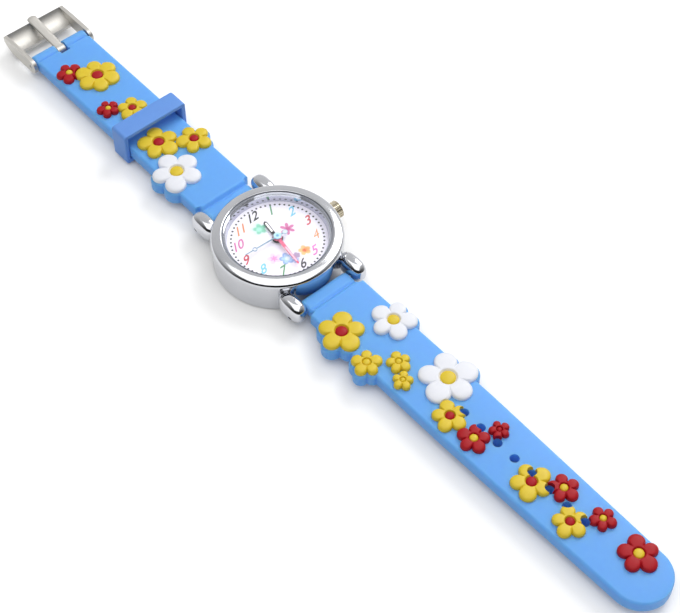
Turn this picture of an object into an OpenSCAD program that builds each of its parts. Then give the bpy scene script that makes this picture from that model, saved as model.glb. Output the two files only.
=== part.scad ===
// Child's quartz wristwatch on a moulded flower strap, in millimetres.
// The origin is the middle of the case back, on the surface that the watch rests on.
// +Z points out of the dial, +Y to 12 o'clock and +X to 3 o'clock, where the crown is.

/* [Case] */
// Outer diameter of the bezel
bezel_d = 27; // [25.5:0.5:34]
// How far the bezel stands out past the case wall, all round
bezel_overhang = 0.3; // [0.2:0.1:1]
// Wall of the middle case
case_wall = 2.3; // [1.6:0.1:2.6]
// Height of the seam between the middle case and the bezel
case_h = 5.9; // [5.6:0.1:6.4]
// Thickness of the case back
back_t = 0.7; // [0.5:0.1:1.2]
// How far the case back stands proud of the middle case
back_proud = 0.25; // [0.1:0.05:0.4]
// Thickness of the crystal
crystal_t = 0.9; // [0.6:0.1:1.5]

/* [Lugs] */
// Width between the lugs
lug_gap = 14; // [12:0.5:16]
// Width of one lug
lug_w = 3; // [2:0.1:3.4]
// Height of the top of the lugs
lug_top = 5.7; // [4.6:0.1:5.8]
// Radius of the curve that a lug follows from its top to its nose
lug_curve = 4.3; // [3.8:0.1:5]
// Reach of a lug's nose past its spring bar
lug_nose = 2.5; // [1.6:0.1:3]
// Diameter of a spring bar
bar_d = 1.5; // [1.2:0.1:1.8]
// Diameter of the pins at the ends of a spring bar
bar_pin_d = 0.8; // [0.6:0.1:1]

/* [Strap] */
// Thickness of the strap
strap_t = 3.1; // [2.6:0.1:3.6]
// Height of the strap's underside
strap_bottom = 1.6; // [1.2:0.1:2]
// Length of the strap with the holes, from its spring bar to its tip
tip_strap_len = 90; // [80:1:110]
// Width of the strap at the tip
tip_w = 12.1; // [10:0.1:13.5]
// Length of the strap with the buckle, from spring bar to buckle bar
buckle_strap_len = 61.2; // [55:0.2:75]
// Diameter of the barrel that turns on a lug spring bar
barrel_d = 3; // [2.6:0.1:3.6]
// Length of the thinner end beside the lugs
strap_root = 2.8; // [2.2:0.1:3.6]
// Diameter of a strap hole
hole_d = 1.9; // [1.6:0.1:2.2]
// Distance between strap holes
hole_pitch = 4.45; // [4:0.05:6]
// Number of strap holes
hole_count = 8; // [5:1:9]
// Distance of the last strap hole from the tip
hole_from_tip = 19.4; // [16:0.2:24]

/* [Flowers] */
// Height that the petals stand above the strap
flower_h = 1.1; // [0.8:0.1:1.6]
// Rim of strap left round a flower that overhangs the edge
pad_rim = 0.4; // [0.2:0.1:0.8]

/* [Keeper] */
// Length of the keeper along the strap
keeper_len = 4.6; // [3.5:0.1:6]
// Wall of the keeper
keeper_wall = 1; // [0.8:0.1:1.3]
// Room in the keeper above the strap
keeper_room = 2.7; // [2.4:0.1:3.4]
// Place of the keeper's middle, from the spring bar
keeper_at = 27.8; // [27:0.2:40]

/* [Buckle] */
// Thickness of the buckle's side walls
buckle_wall = 0.85; // [0.7:0.05:1.2]
// Reach of the buckle from its bar to the far edge
buckle_reach = 10.4; // [9.8:0.1:13]
// Gap in the buckle that the strap goes through
buckle_gap = 4.5; // [4.2:0.1:5]
// Diameter of the strap's barrel on the buckle bar
buckle_barrel_d = 3.4; // [3:0.1:3.8]
// Width of the tongue
tongue_w = 1.9; // [1.5:0.1:2.2]
// Thickness of the tongue
tongue_t = 0.8; // [0.6:0.1:1]

/* [Dial and hands] */
// Thickness of the dial
dial_t = 0.4; // [0.3:0.05:0.6]
// Width of the sloping ring round the dial
dial_ring_w = 0.8; // [0.6:0.1:1]
// Length of the hour hand from the centre
hour_hand_len = 5.3; // [4:0.1:6]
// Length of the minute hand from the centre
minute_hand_len = 8; // [6:0.1:8.4]
// Length of the seconds hand from the centre
second_hand_len = 8; // [7:0.1:8.8]
// Thickness of the hands
hand_t = 0.15; // [0.1:0.01:0.2]

/* [Movement] */
// Wall of the ring that holds the movement in the case
holder_w = 1.5; // [1.2:0.1:2]
// Thickness of the main plate
plate_t = 0.55; // [0.45:0.05:0.7]
// Thickness of the train bridge
bridge_t = 0.55; // [0.45:0.05:0.7]
// Thickness of the wheels
wheel_t = 0.15; // [0.1:0.01:0.2]
// Thickness of the battery
battery_t = 2.1; // [1.6:0.1:2.3]
// Outer diameter of the coil
coil_d = 1.8; // [1.4:0.1:1.9]

/* [Crown] */
// Diameter of the crown
crown_d = 3.8; // [3.2:0.1:4.4]
// Length of the crown
crown_len = 2.6; // [2.2:0.1:3.2]
// Number of flutes round the crown
crown_flutes = 22; // [16:2:30]
// Diameter of the stem
stem_d = 0.8; // [0.6:0.05:0.9]

/* [Hidden] */
$fn = 72;
// Clearances
run_gap = 0.05;
seat_gap = 0.03;
side_gap = 0.1;
level_gap = 0.2;
overrun = 1;
half_share = 0.5;

// Case, from the outside in
bezel_r = bezel_d / 2;
case_r = bezel_r - bezel_overhang;
bore_r = case_r - case_wall;
case_edge = 0.4;
back_lip = 0.7;
back_r = bore_r + back_lip;
back_rim_w = 0.9;
back_gap = 0.25;
rim_in_r = bore_r - side_gap - back_rim_w;
gasket_w = 0.3;
crystal_r = bore_r;
seat_r = crystal_r + gasket_w + 2 * seat_gap;
dial_open_r = bore_r - dial_ring_w;
dial_ring_flare = 0.25;

// Heights of the movement, from the case back to the dial
bridge_z = back_t + back_gap;
bridge_top = bridge_z + bridge_t;
clip_t = 0.15;
seconds_z = bridge_top + level_gap;
intermediate_z = seconds_z + wheel_t + level_gap;
stator_z = intermediate_z + wheel_t + level_gap;
stator_t = 0.3;
third_z = stator_z + level_gap;
battery_top = bridge_z + battery_t;
coil_z = stator_z + stator_t / 2;
centre_z = max(third_z + wheel_t, battery_top, coil_z + coil_d / 2 - wheel_t - level_gap / 2) + level_gap;
plate_z = centre_z + wheel_t + level_gap;
plate_top = plate_z + plate_t;
motion_gap = 0.1;
cannon_z = plate_top + motion_gap;
hour_z = cannon_z + wheel_t + motion_gap;
dial_z = hour_z + wheel_t + level_gap;
dial_top = dial_z + dial_t;

// Heights of the hands, the crystal and the bezel
hand_rise = 0.3;
hand_step = 0.22;
cap_t = 0.15;
hour_hand_z = dial_top + hand_rise;
minute_hand_z = hour_hand_z + hand_t + hand_step;
second_hand_z = minute_hand_z + hand_t + hand_step;
crystal_z = second_hand_z + hand_t + cap_t + level_gap;
bezel_rim = 0.15;
bezel_top = crystal_z + crystal_t + bezel_rim;
bezel_h = bezel_top - case_h;

// Lugs, spring bars and strap ends
barrel_gap = 0.3;
barrel_r = barrel_d / 2;
bar_r = bar_d / 2;
bar_y = case_r + barrel_gap + barrel_r;
bar_drop = 0.45;
bar_z = strap_bottom + strap_t / 2 - bar_drop;
bar_pin = 1.9;
lug_y = bar_y + lug_nose - lug_curve;
lug_z = lug_top - lug_curve;
lug_foot = 0.4;
lug_round_share = 0.42;
lug_round = lug_w * lug_round_share;
strap_w = lug_gap - 2 * side_gap;
strap_top = strap_bottom + strap_t;
root_step = 0.5;
root_in = 0.3;
groove_w = 0.7;
tip_bulge = 0.12;
taper_share = 0.45;

// Buckle
buckle_bar_z = strap_top - buckle_barrel_d / 2;
buckle_barrel_r = buckle_barrel_d / 2;
buckle_side_gap = 0.2;
buckle_in_w = strap_w + 2 * buckle_side_gap;
buckle_plate_t = 0.8;
plate_from = buckle_barrel_r + buckle_gap;
bend_share = 1.19;
plate_bend_r = (buckle_reach - plate_from) * bend_share;
plate_low = 1.4;
wall_rise = 0.5;
wall_drop = 0.5;
slot_gap = 0.25;
slot_depth = 2.6;
tongue_loop_r = 1.35;
tongue_over = 1.1;

// Keeper
keeper_gap = 0.15;
keeper_round = 0.5;

// Crown and stem
stem_r = stem_d / 2;
stem_z = plate_z - stem_r - level_gap / 2;
crown_r = crown_d / 2;
crown_gap = 0.2;
crown_x = case_r + crown_gap;
crown_dome = 0.35;
crown_skin = 0.55;
flute_r = 0.16;
tube_wall = 0.35;
tube_out = 1.3;
tube_r = stem_r + run_gap + tube_wall;
crown_recess = 1.5;

// Movement in plan
movement_r = bore_r - holder_w;
ledge_share = 0.0532;
ledge_w = movement_r * ledge_share;
frame_r = movement_r - ledge_w;
inner_r = frame_r - level_gap;
arbor_r = 0.11;
pivot_gap = 0.03;
pinion_t = wheel_t + level_gap / 2;
battery_turn = 215;
battery_share = 0.617;
battery_d = movement_r * battery_share;
battery_at = inner_r - battery_d / 2;

// Teeth
addendum_share = 0.85;
dedendum_share = 1.15;
tip_half_share = 0.09;
root_half_share = 0.24;

// Wheels: counts of teeth and sizes
seconds_teeth = 36;
intermediate_teeth = 30;
third_teeth = 45;
centre_teeth = 48;
train_leaves = 6;
cannon_leaves = 10;
minute_teeth = 30;
minute_leaves = 8;
hour_teeth = 32;
setting_teeth = 10;
seconds_wheel_share = 0.2234;
intermediate_wheel_share = 0.1596;
centre_wheel_share = 0.234;
module_share = 0.01702;
seconds_wheel_r = movement_r * seconds_wheel_share;
intermediate_wheel_r = movement_r * intermediate_wheel_share;
centre_wheel_r = movement_r * centre_wheel_share;
motion_module = movement_r * module_share;

// Wheel places: each wheel's distance from the one it meshes with
intermediate_turn = 48;
third_turn = 130;
minute_turn = -35;
intermediate_at = seconds_wheel_r * (1 + train_leaves / seconds_teeth);
rotor_at = intermediate_wheel_r * (1 + train_leaves / intermediate_teeth);
third_at = centre_wheel_r * (1 + train_leaves / centre_teeth);
third_pinion_r = third_at * train_leaves / (train_leaves + centre_teeth);
seconds_pinion_r = third_at * train_leaves / (train_leaves + third_teeth);
third_wheel_r = third_at - seconds_pinion_r;
minute_at = motion_module * (cannon_leaves + minute_teeth) / 2;
setting_at = motion_module * (minute_teeth + setting_teeth) / 2;
minute_xy = polar(minute_at, minute_turn);
setting_x = minute_xy[0] + sqrt(setting_at * setting_at - minute_xy[1] * minute_xy[1]);
third_xy = polar(third_at, third_turn);
rotor_u = intermediate_at + rotor_at;
rotor_share = 0.064;
rotor_r = movement_r * rotor_share;
rotor_gap = 0.12;

// Pipes on the centre, from the inside out
second_arbor_r = 0.2;
pipe_wall = 0.14;
centre_in_r = second_arbor_r + run_gap;
centre_out_r = centre_in_r + pipe_wall;
cannon_in_r = centre_out_r + seat_gap;
cannon_out_r = cannon_in_r + pipe_wall;
hour_in_r = cannon_out_r + run_gap;
hour_out_r = hour_in_r + pipe_wall;
hub_wall = 0.35;

// Keyless works
clutch_wall = 0.35;
clutch_tooth = 0.16;
clutch_len_share = 0.05;
lever_share = 0.197;
lever_w_share = 0.0745;
lever_nose_share = 0.032;
clutch_r = stem_r + run_gap + clutch_wall;
clutch_len = movement_r * clutch_len_share;
clutch_x = setting_x + setting_teeth * motion_module / 2 + addendum_share * motion_module + level_gap;
clutch_teeth = 12;
lever_arm = movement_r * lever_share;
lever_swing = 15.7;
lever_w = movement_r * lever_w_share;
lever_nose = movement_r * lever_nose_share;
lever_t = 0.2;
crown_travel = 2 * lever_arm * sin(lever_swing);
groove_gap = 0.12;
groove_r = stem_r * half_share;
lever_x = clutch_x + clutch_len + lever_nose + level_gap + crown_travel / 2;
lever_y = -lever_arm * cos(lever_swing) - stem_r * half_share - groove_gap;
groove_x = lever_x - crown_travel / 2;
stem_end_x = clutch_x - level_gap - crown_travel;

// Coil and stator, along and across the line from the centre to the rotor
coil_gap_share = 0.2926;
core_w_share = 0.0745;
stator_w_share = 0.2234;
stator_half_share = 0.3936;
stator_arm_share = 0.0957;
coil_u = rotor_u + movement_r * coil_gap_share;
flange_t = 0.35;
core_w = movement_r * core_w_share;
stator_w = movement_r * stator_w_share;
stator_half = movement_r * stator_half_share;
stator_arm = movement_r * stator_arm_share;
coil_len = 2 * (stator_half - stator_arm - seat_gap);

// Bridge pillars and screws
pillar_share = 0.0745;
pillar_r = movement_r * pillar_share;
pillar_turns = [176, 128, 92];
pillar_at = inner_r - pillar_r - side_gap;
screw_share = 0.45;
head_share = 0.72;
screw_r = pillar_r * screw_share;
head_r = pillar_r * head_share;
head_t = 0.25;
bridge_edge_share = 0.138;
bridge_edge = -movement_r * bridge_edge_share;

// Circuit board and quartz can
board_t = 0.3;
board_edge_share = 0.309;
board_left_share = 0.213;
can_share = 0.08;
can_len_share = 0.53;
can_x_share = 0.043;
can_y_share = 0.553;
board_edge = -movement_r * board_edge_share;
board_left = -movement_r * board_left_share;
can_r = movement_r * can_share;
can_len = movement_r * can_len_share;
can_x = movement_r * can_x_share;
can_y = -movement_r * can_y_share;

// Hands: clock angles at rest
hour_angle = 9;
minute_angle = 188;
second_angle = 273;
hour_hand_w = 0.75;
minute_hand_w = 0.8;
second_hand_w = 0.28;
second_tail = 1.9;
second_weight_r = 0.55;
second_ring_r = 0.5;
second_ring_at = 5.6;
cap_r = 0.8;

// Flowers: across as a share of the half width, along as a share of the strap's length
// from its spring bar, and outer radius as a share of the strap's width
lobe_reach_share = 0.59;
centre_share = 0.23;
dome_share = 0.45;
trim_gap = 0.06;
tip_yellow_shares = [
    [0.75, 0.117, 0.355], [0.93, 0.214, 0.228], [0.25, 0.257, 0.188], [0.58, 0.298, 0.159],
    [0.41, 0.428, 0.264], [0.22, 0.651, 0.297], [0.32, 0.766, 0.254]
];
tip_yellow_turns = [10, 13, 29, 4, 23, 31, 17];
tip_white_shares = [[-0.62, 0.167, 0.344], [-0.42, 0.355, 0.442]];
tip_white_turns = [67, 18];
tip_red_shares = [
    [0.42, 0.500, 0.239], [-0.28, 0.520, 0.156], [-0.29, 0.704, 0.228], [-0.39, 0.804, 0.192],
    [-0.33, 0.904, 0.290]
];
tip_red_turns = [2, 31, 21, 40, 16];
buckle_yellow_shares = [
    [0.06, 0.773, 0.355], [0.03, 0.560, 0.246], [-0.23, 0.368, 0.333], [0.68, 0.301, 0.283]
];
buckle_yellow_turns = [9, -12, -2, 10];
buckle_white_shares = [[-0.55, 0.219, 0.400]];
buckle_white_turns = [13];
buckle_red_shares = [[-0.55, 0.848, 0.217], [-0.55, 0.613, 0.181]];
buckle_red_turns = [14, 9];
// Which flowers have a centre of the other colour, by their place in the tables
tip_yellow_all = [0 : len(tip_yellow_shares) - 1];
tip_white_all = [0 : len(tip_white_shares) - 1];
tip_red_all = [0 : len(tip_red_shares) - 1];
buckle_yellow_all = [0 : len(buckle_yellow_shares) - 1];
buckle_white_all = [0 : len(buckle_white_shares) - 1];
buckle_red_all = [0 : len(buckle_red_shares) - 1];
tip_yellow_with_red = [0, 4, 5, 6];
tip_yellow_plain = [1, 2, 3];
tip_red_with_yellow = [0, 2, 3, 4];
tip_red_plain = [1];
tip_pads_yellow = [0, 1];
buckle_pads = [3];

function polar(r, a) = [r * cos(a), r * sin(a)];

// Outline of a toothed wheel: four points a tooth, on the root and tip circles
function tooth_points(teeth, r) =
    let (m = 2 * r / teeth, pitch = 360 / teeth)
    let (root = r - m * dedendum_share, tip = r + m * addendum_share)
    [
        for (i = [0 : teeth - 1])
            each [
                polar(root, (i - root_half_share) * pitch),
                polar(tip, (i - tip_half_share) * pitch),
                polar(tip, (i + tip_half_share) * pitch),
                polar(root, (i + root_half_share) * pitch)
            ]
    ];

// Turn of a wheel that meshes with another, which lies at angle a and has its own turn and teeth
function mesh_turn(a, turn, teeth, own_teeth) = a + 180 + 180 / own_teeth + (a - turn) * teeth / own_teeth;

module wheel(teeth, r, t, turn = 0) {
    rotate(turn)
        linear_extrude(height = t)
            polygon(tooth_points(teeth, r));
}

module ring(r_out, r_in, h) {
    difference() {
        cylinder(r = r_out, h = h);
        translate([0, 0, -overrun])
            cylinder(r = r_in, h = h + 2 * overrun);
    }
}

// Rod along +X from the origin
module rod_x(r, len) {
    rotate([0, 90, 0])
        cylinder(r = r, h = len);
}

// Rod across the watch, its middle at the origin
module cross_rod(r, len) {
    rotate([0, 90, 0])
        cylinder(r = r, h = len, center = true);
}

// Rounded rectangle in the plane
module round_rect(w, h, r) {
    translate([-w / 2, r])
        square([w, h - 2 * r]);
    translate([-w / 2 + r, 0])
        square([w - 2 * r, h]);
    for (x = [-w / 2 + r, w / 2 - r], y = [r, h - r])
        translate([x, y])
            circle(r = r);
}

module at_intermediate() {
    translate(polar(intermediate_at, intermediate_turn))
        children();
}

module at_rotor() {
    translate(polar(rotor_u, intermediate_turn))
        children();
}

module at_third() {
    translate(third_xy)
        children();
}

module at_battery() {
    translate(polar(battery_at, battery_turn))
        children();
}

module at_pillars() {
    for (a = pillar_turns)
        translate(polar(pillar_at, a))
            children();
}

// Places a strap's parts: Y runs out from its spring bar
module on_buckle_side() {
    translate([0, bar_y, 0])
        children();
}

module on_tip_side() {
    rotate(180)
        translate([0, bar_y, 0])
            children();
}

// Lug: a slice of a disc with a full round rim, cut off flat at its foot
module lug() {
    intersection() {
        translate([lug_gap / 2, lug_y, lug_z])
            rotate([90, 0, 90])
                rotate_extrude() {
                    square([lug_curve - lug_round, lug_w]);
                    translate([0, lug_round])
                        square([lug_curve, lug_w - 2 * lug_round]);
                    for (x = [lug_round, lug_w - lug_round])
                        translate([lug_curve - lug_round, x])
                            circle(r = lug_round);
                }
        translate([0, bore_r * half_share, lug_foot])
            cube([case_r + lug_w, bar_y, lug_top]);
    }
}

module case_body() {
    color("silver")
        difference() {
            union() {
                rotate_extrude()
                    polygon([
                        [bore_r, back_proud], [case_r - case_edge, back_proud],
                        [case_r, back_proud + case_edge], [case_r, case_h], [bore_r, case_h]
                    ]);
                for (x = [0, 1], y = [0, 1])
                    mirror([x, 0, 0])
                        mirror([0, y, 0])
                            difference() {
                                lug();
                                cylinder(r = (bore_r + case_r) / 2, h = case_h);
                            }
            }
            translate([0, 0, -overrun])
                cylinder(r = back_r + seat_gap, h = overrun + back_t + seat_gap);
            for (y = [-bar_y, bar_y])
                translate([0, y, bar_z])
                    cross_rod(bar_pin_d / 2 + run_gap, lug_gap + 2 * lug_w + 2 * overrun);
            translate([0, 0, stem_z])
                rod_x(tube_r + seat_gap / 2, case_r + overrun);
        }
}

// Polished ring: a rounded crown on top, an inner shelf under the crystal
module bezel() {
    crown_bend = bezel_h - level_gap;
    color("gainsboro")
        translate([0, 0, case_h])
            rotate_extrude() {
                intersection() {
                    translate([seat_r, 0])
                        square([bezel_r - seat_r, bezel_h]);
                    translate([(seat_r + bezel_r) / 2, bezel_h - crown_bend])
                        circle(r = crown_bend);
                }
                translate([bore_r, 0])
                    square([seat_r - bore_r + gasket_w, crystal_z - case_h]);
            }
}

module crystal() {
    color("lightcyan")
        translate([0, 0, crystal_z])
            cylinder(r = crystal_r, h = crystal_t);
}

module crystal_gasket() {
    color("whitesmoke")
        translate([0, 0, crystal_z])
            ring(crystal_r + seat_gap + gasket_w, crystal_r + seat_gap, crystal_t - bezel_rim);
}

// Reflecting ring between the dial and the crystal
module dial_ring() {
    color("darkgray")
        rotate_extrude()
            polygon([
                [dial_open_r, dial_top], [bore_r - seat_gap, dial_top], [bore_r - seat_gap, crystal_z],
                [dial_open_r + dial_ring_flare, crystal_z]
            ]);
}

module dial() {
    color("white")
        translate([0, 0, dial_z])
            ring(bore_r - side_gap, hour_out_r + run_gap, dial_t);
}

// Hands point to +Y before they turn
module baton(len, tail, w_in, w_out) {
    linear_extrude(height = hand_t)
        polygon([[-w_in / 2, -tail], [w_in / 2, -tail], [w_out / 2, len - w_out / 2], [0, len],
            [-w_out / 2, len - w_out / 2]]);
}

module hour_hand() {
    color("black")
        translate([0, 0, hour_hand_z])
            rotate(-hour_angle)
                difference() {
                    union() {
                        baton(hour_hand_len, hour_out_r, hour_hand_w, hour_hand_w);
                        cylinder(r = hour_out_r + hub_wall, h = hand_t);
                    }
                    translate([0, 0, -overrun])
                        cylinder(r = hour_out_r + seat_gap, h = hand_t + 2 * overrun);
                }
}

module minute_hand() {
    color("hotpink")
        translate([0, 0, minute_hand_z])
            rotate(-minute_angle)
                difference() {
                    union() {
                        baton(minute_hand_len, cannon_out_r, minute_hand_w, minute_hand_w * half_share);
                        cylinder(r = cannon_out_r + hub_wall, h = hand_t);
                    }
                    translate([0, 0, -overrun])
                        cylinder(r = cannon_out_r + seat_gap, h = hand_t + 2 * overrun);
                }
}

// Seconds hand with its ring, the counterweight on its tail and the cap over the hub
module second_hand() {
    color("steelblue")
        translate([0, 0, second_hand_z]) {
            rotate(-second_angle)
                difference() {
                    union() {
                        baton(second_hand_len, second_tail, second_hand_w, second_hand_w * half_share);
                        translate([0, second_ring_at, 0])
                            cylinder(r = second_ring_r, h = hand_t);
                        translate([0, -second_tail, 0])
                            cylinder(r = second_weight_r, h = hand_t);
                        cylinder(r = cap_r, h = hand_t);
                    }
                    translate([0, second_ring_at, -overrun])
                        cylinder(r = second_ring_r - second_hand_w / 2, h = hand_t + 2 * overrun);
                    translate([0, 0, -overrun])
                        cylinder(r = second_arbor_r + seat_gap / 2, h = hand_t + overrun);
                }
            translate([0, 0, hand_t])
                cylinder(r = cap_r, h = cap_t);
        }
}

module movement_holder() {
    color("ivory")
        difference() {
            translate([0, 0, bridge_z])
                ring(bore_r - side_gap, frame_r, dial_z - bridge_z);
            translate([0, 0, plate_z])
                cylinder(r = movement_r + seat_gap, h = dial_z);
            translate([0, 0, stem_z])
                rod_x(stem_r + side_gap, bore_r + overrun);
        }
}

// Plate that carries the train below and the motion work above, with a rim under the dial
module main_plate() {
    stud_r = arbor_r + side_gap;
    color("goldenrod")
        difference() {
            union() {
                translate([0, 0, plate_z])
                    cylinder(r = movement_r, h = plate_t);
                translate([0, 0, plate_top])
                    ring(movement_r, movement_r - ledge_w, dial_z - plate_top);
                for (p = [minute_xy, [setting_x, 0]])
                    translate([p[0], p[1], plate_top])
                        cylinder(r = stud_r, h = dial_z - plate_top - motion_gap);
                translate([lever_x, lever_y, stem_z - lever_t])
                    cylinder(r = stud_r, h = plate_z - stem_z + lever_t);
            }
            translate([0, 0, plate_z - overrun])
                cylinder(r = centre_out_r + run_gap, h = plate_t + 2 * overrun);
            translate([0, 0, plate_z - overrun]) {
                at_third()
                    cylinder(r = arbor_r + pivot_gap, h = overrun + plate_t * half_share);
                at_intermediate()
                    cylinder(r = arbor_r + pivot_gap, h = overrun + plate_t * half_share);
                at_rotor()
                    cylinder(r = arbor_r + pivot_gap, h = overrun + plate_t * half_share);
                at_pillars()
                    cylinder(r = screw_r + seat_gap, h = overrun + plate_t * half_share);
            }
            translate([clutch_x - level_gap, -clutch_r - level_gap, plate_z - overrun])
                cube([clutch_len + 2 * level_gap, 2 * (clutch_r + level_gap), plate_t + 2 * overrun]);
        }
}

// Lower plate of the train, cut away round the battery, with three pillars up to the main plate
module train_bridge() {
    color("gold")
        difference() {
            union() {
                translate([0, 0, bridge_z])
                    linear_extrude(height = bridge_t)
                        difference() {
                            intersection() {
                                circle(r = inner_r);
                                translate([-inner_r, bridge_edge])
                                    square([2 * inner_r, 2 * inner_r]);
                            }
                            at_battery()
                                circle(r = battery_d / 2 + level_gap);
                        }
                at_pillars()
                    translate([0, 0, bridge_z])
                        cylinder(r = pillar_r, h = plate_z - bridge_z);
            }
            translate([0, 0, bridge_z]) {
                translate([0, 0, bridge_t * half_share]) {
                    cylinder(r = second_arbor_r + pivot_gap, h = bridge_t);
                    at_third()
                        cylinder(r = arbor_r + pivot_gap, h = bridge_t);
                    at_intermediate()
                        cylinder(r = arbor_r + pivot_gap, h = bridge_t);
                    at_rotor()
                        cylinder(r = arbor_r + pivot_gap, h = bridge_t);
                }
                at_pillars() {
                    translate([0, 0, -overrun])
                        cylinder(r = screw_r + seat_gap, h = plate_z + overrun);
                    translate([0, 0, -overrun])
                        cylinder(r = head_r + seat_gap, h = overrun + head_t);
                }
            }
        }
}

module bridge_screws() {
    slot_w = head_t * half_share;
    color("lightsteelblue")
        at_pillars()
            translate([0, 0, bridge_z])
                difference() {
                    union() {
                        cylinder(r = head_r, h = head_t);
                        cylinder(r = screw_r, h = plate_z - bridge_z + plate_t * half_share - run_gap);
                    }
                    translate([-head_r - overrun, -slot_w / 2, -overrun])
                        cube([2 * (head_r + overrun), slot_w, slot_w + overrun]);
                }
}

// Button cell: the can to the back, the narrower cap to the plate
module battery() {
    cap_h = 0.3;
    cap_in = 0.45;
    color("lightgray")
        at_battery()
            translate([0, 0, bridge_z]) {
                cylinder(r = battery_d / 2, h = battery_t - cap_h);
                cylinder(r = battery_d / 2 - cap_in, h = battery_t);
            }
}

// Spring strip across the back of the battery, lying against the bridge
module battery_clip() {
    clip_w = battery_d / 4;
    clip_len = battery_d / 2 + level_gap + clip_w;
    color("khaki")
        at_battery()
            rotate(battery_turn - 180)
                translate([-battery_d / 4, -clip_w / 2, bridge_z - clip_t])
                    cube([clip_len + battery_d / 4, clip_w, clip_t]);
}

module circuit_board() {
    color("darkgreen")
        translate([0, 0, plate_z - board_t])
            linear_extrude(height = board_t)
                difference() {
                    intersection() {
                        circle(r = inner_r);
                        translate([board_left, board_edge - inner_r])
                            square([2 * inner_r, inner_r]);
                    }
                    at_battery()
                        circle(r = battery_d / 2 + level_gap);
                }
}

module quartz_can() {
    cap_len = 0.4;
    color("silver")
        translate([can_x, can_y, plate_z - board_t - can_r - seat_gap]) {
            rod_x(can_r, can_len - cap_len);
            rod_x(can_r - can_r * centre_share, can_len);
        }
}

// Coil frame: x runs out from the centre through the rotor, y across
module in_coil_frame() {
    rotate(intermediate_turn)
        children();
}

// Winding between two flanges on a flat core
module coil() {
    color("peru")
        in_coil_frame()
            translate([coil_u, 0, coil_z])
                rotate([90, 0, 0]) {
                    cylinder(r = coil_d / 2 - flange_t / 2, h = coil_len, center = true);
                    for (s = [-1, 1])
                        translate([0, 0, s * (coil_len - flange_t) / 2])
                            cylinder(r = coil_d / 2, h = flange_t, center = true);
                }
}

// Flat steel yoke: a bar with the rotor's hole, and two arms that reach round to the coil's ends
module stator() {
    arm_u = coil_u + core_w / 2;
    color("slategray")
        in_coil_frame()
            translate([0, 0, stator_z])
                linear_extrude(height = stator_t)
                    difference() {
                        union() {
                            translate([rotor_u - stator_w * half_share, -stator_half])
                                square([stator_w, 2 * stator_half]);
                            for (s = [-1, 1])
                                translate([rotor_u, s * (stator_half - stator_arm / 2) - stator_arm / 2])
                                    square([arm_u - rotor_u, stator_arm]);
                        }
                        translate([rotor_u, 0])
                            circle(r = rotor_r + rotor_gap);
                    }
}

// Arbor from the bridge to the plate
module arbor(from_z, to_z, r = arbor_r) {
    translate([0, 0, from_z])
        cylinder(r = r, h = to_z - from_z);
}

module train_arbor() {
    arbor(bridge_z + bridge_t * half_share + pivot_gap, plate_z + plate_t * half_share - pivot_gap);
}

module rotor() {
    own_turn = mesh_turn(intermediate_turn, 0, intermediate_teeth, train_leaves);
    color("dimgray")
        at_rotor() {
            train_arbor();
            translate([0, 0, intermediate_z - level_gap / 4])
                wheel(train_leaves, rotor_at - intermediate_wheel_r, pinion_t, own_turn);
            translate([0, 0, stator_z])
                cylinder(r = rotor_r, h = stator_t);
        }
}

module intermediate_wheel() {
    own_turn = mesh_turn(intermediate_turn, 0, seconds_teeth, train_leaves);
    color("whitesmoke")
        at_intermediate() {
            train_arbor();
            translate([0, 0, intermediate_z])
                wheel(intermediate_teeth, intermediate_wheel_r, wheel_t);
            translate([0, 0, seconds_z - level_gap / 4])
                wheel(train_leaves, intermediate_at - seconds_wheel_r, pinion_t, own_turn);
        }
}

module seconds_wheel() {
    color("gold") {
        arbor(bridge_z + bridge_t * half_share + pivot_gap, second_hand_z + hand_t, second_arbor_r);
        translate([0, 0, seconds_z])
            wheel(seconds_teeth, seconds_wheel_r, wheel_t);
        translate([0, 0, third_z - level_gap / 4])
            wheel(train_leaves, seconds_pinion_r + seat_gap, pinion_t, third_turn);
    }
}

module third_wheel() {
    own_turn = mesh_turn(third_turn, third_turn, train_leaves, third_teeth);
    color("gold")
        at_third() {
            train_arbor();
            translate([0, 0, third_z])
                wheel(third_teeth, third_wheel_r - seat_gap, wheel_t, own_turn);
            translate([0, 0, centre_z - level_gap / 4])
                wheel(train_leaves, third_pinion_r, pinion_t, third_turn);
        }
}

// Wheel that turns once an hour, on a pipe round the seconds arbor
module centre_wheel() {
    own_turn = mesh_turn(third_turn + 180, third_turn, train_leaves, centre_teeth);
    color("gold")
        difference() {
            union() {
                translate([0, 0, centre_z])
                    wheel(centre_teeth, centre_wheel_r, wheel_t, own_turn);
                arbor(centre_z, hour_z + wheel_t, centre_out_r);
            }
            translate([0, 0, centre_z - overrun])
                cylinder(r = centre_in_r, h = dial_z);
        }
}

// Pinion pressed on the centre pipe; its sleeve carries the minute hand
module cannon_pinion() {
    color("darkgoldenrod")
        difference() {
            union() {
                translate([0, 0, cannon_z])
                    wheel(cannon_leaves, cannon_leaves * motion_module / 2, wheel_t, minute_turn);
                arbor(cannon_z, minute_hand_z + hand_t, cannon_out_r);
            }
            translate([0, 0, cannon_z - overrun])
                cylinder(r = cannon_in_r, h = overrun + minute_hand_z);
        }
}

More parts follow.
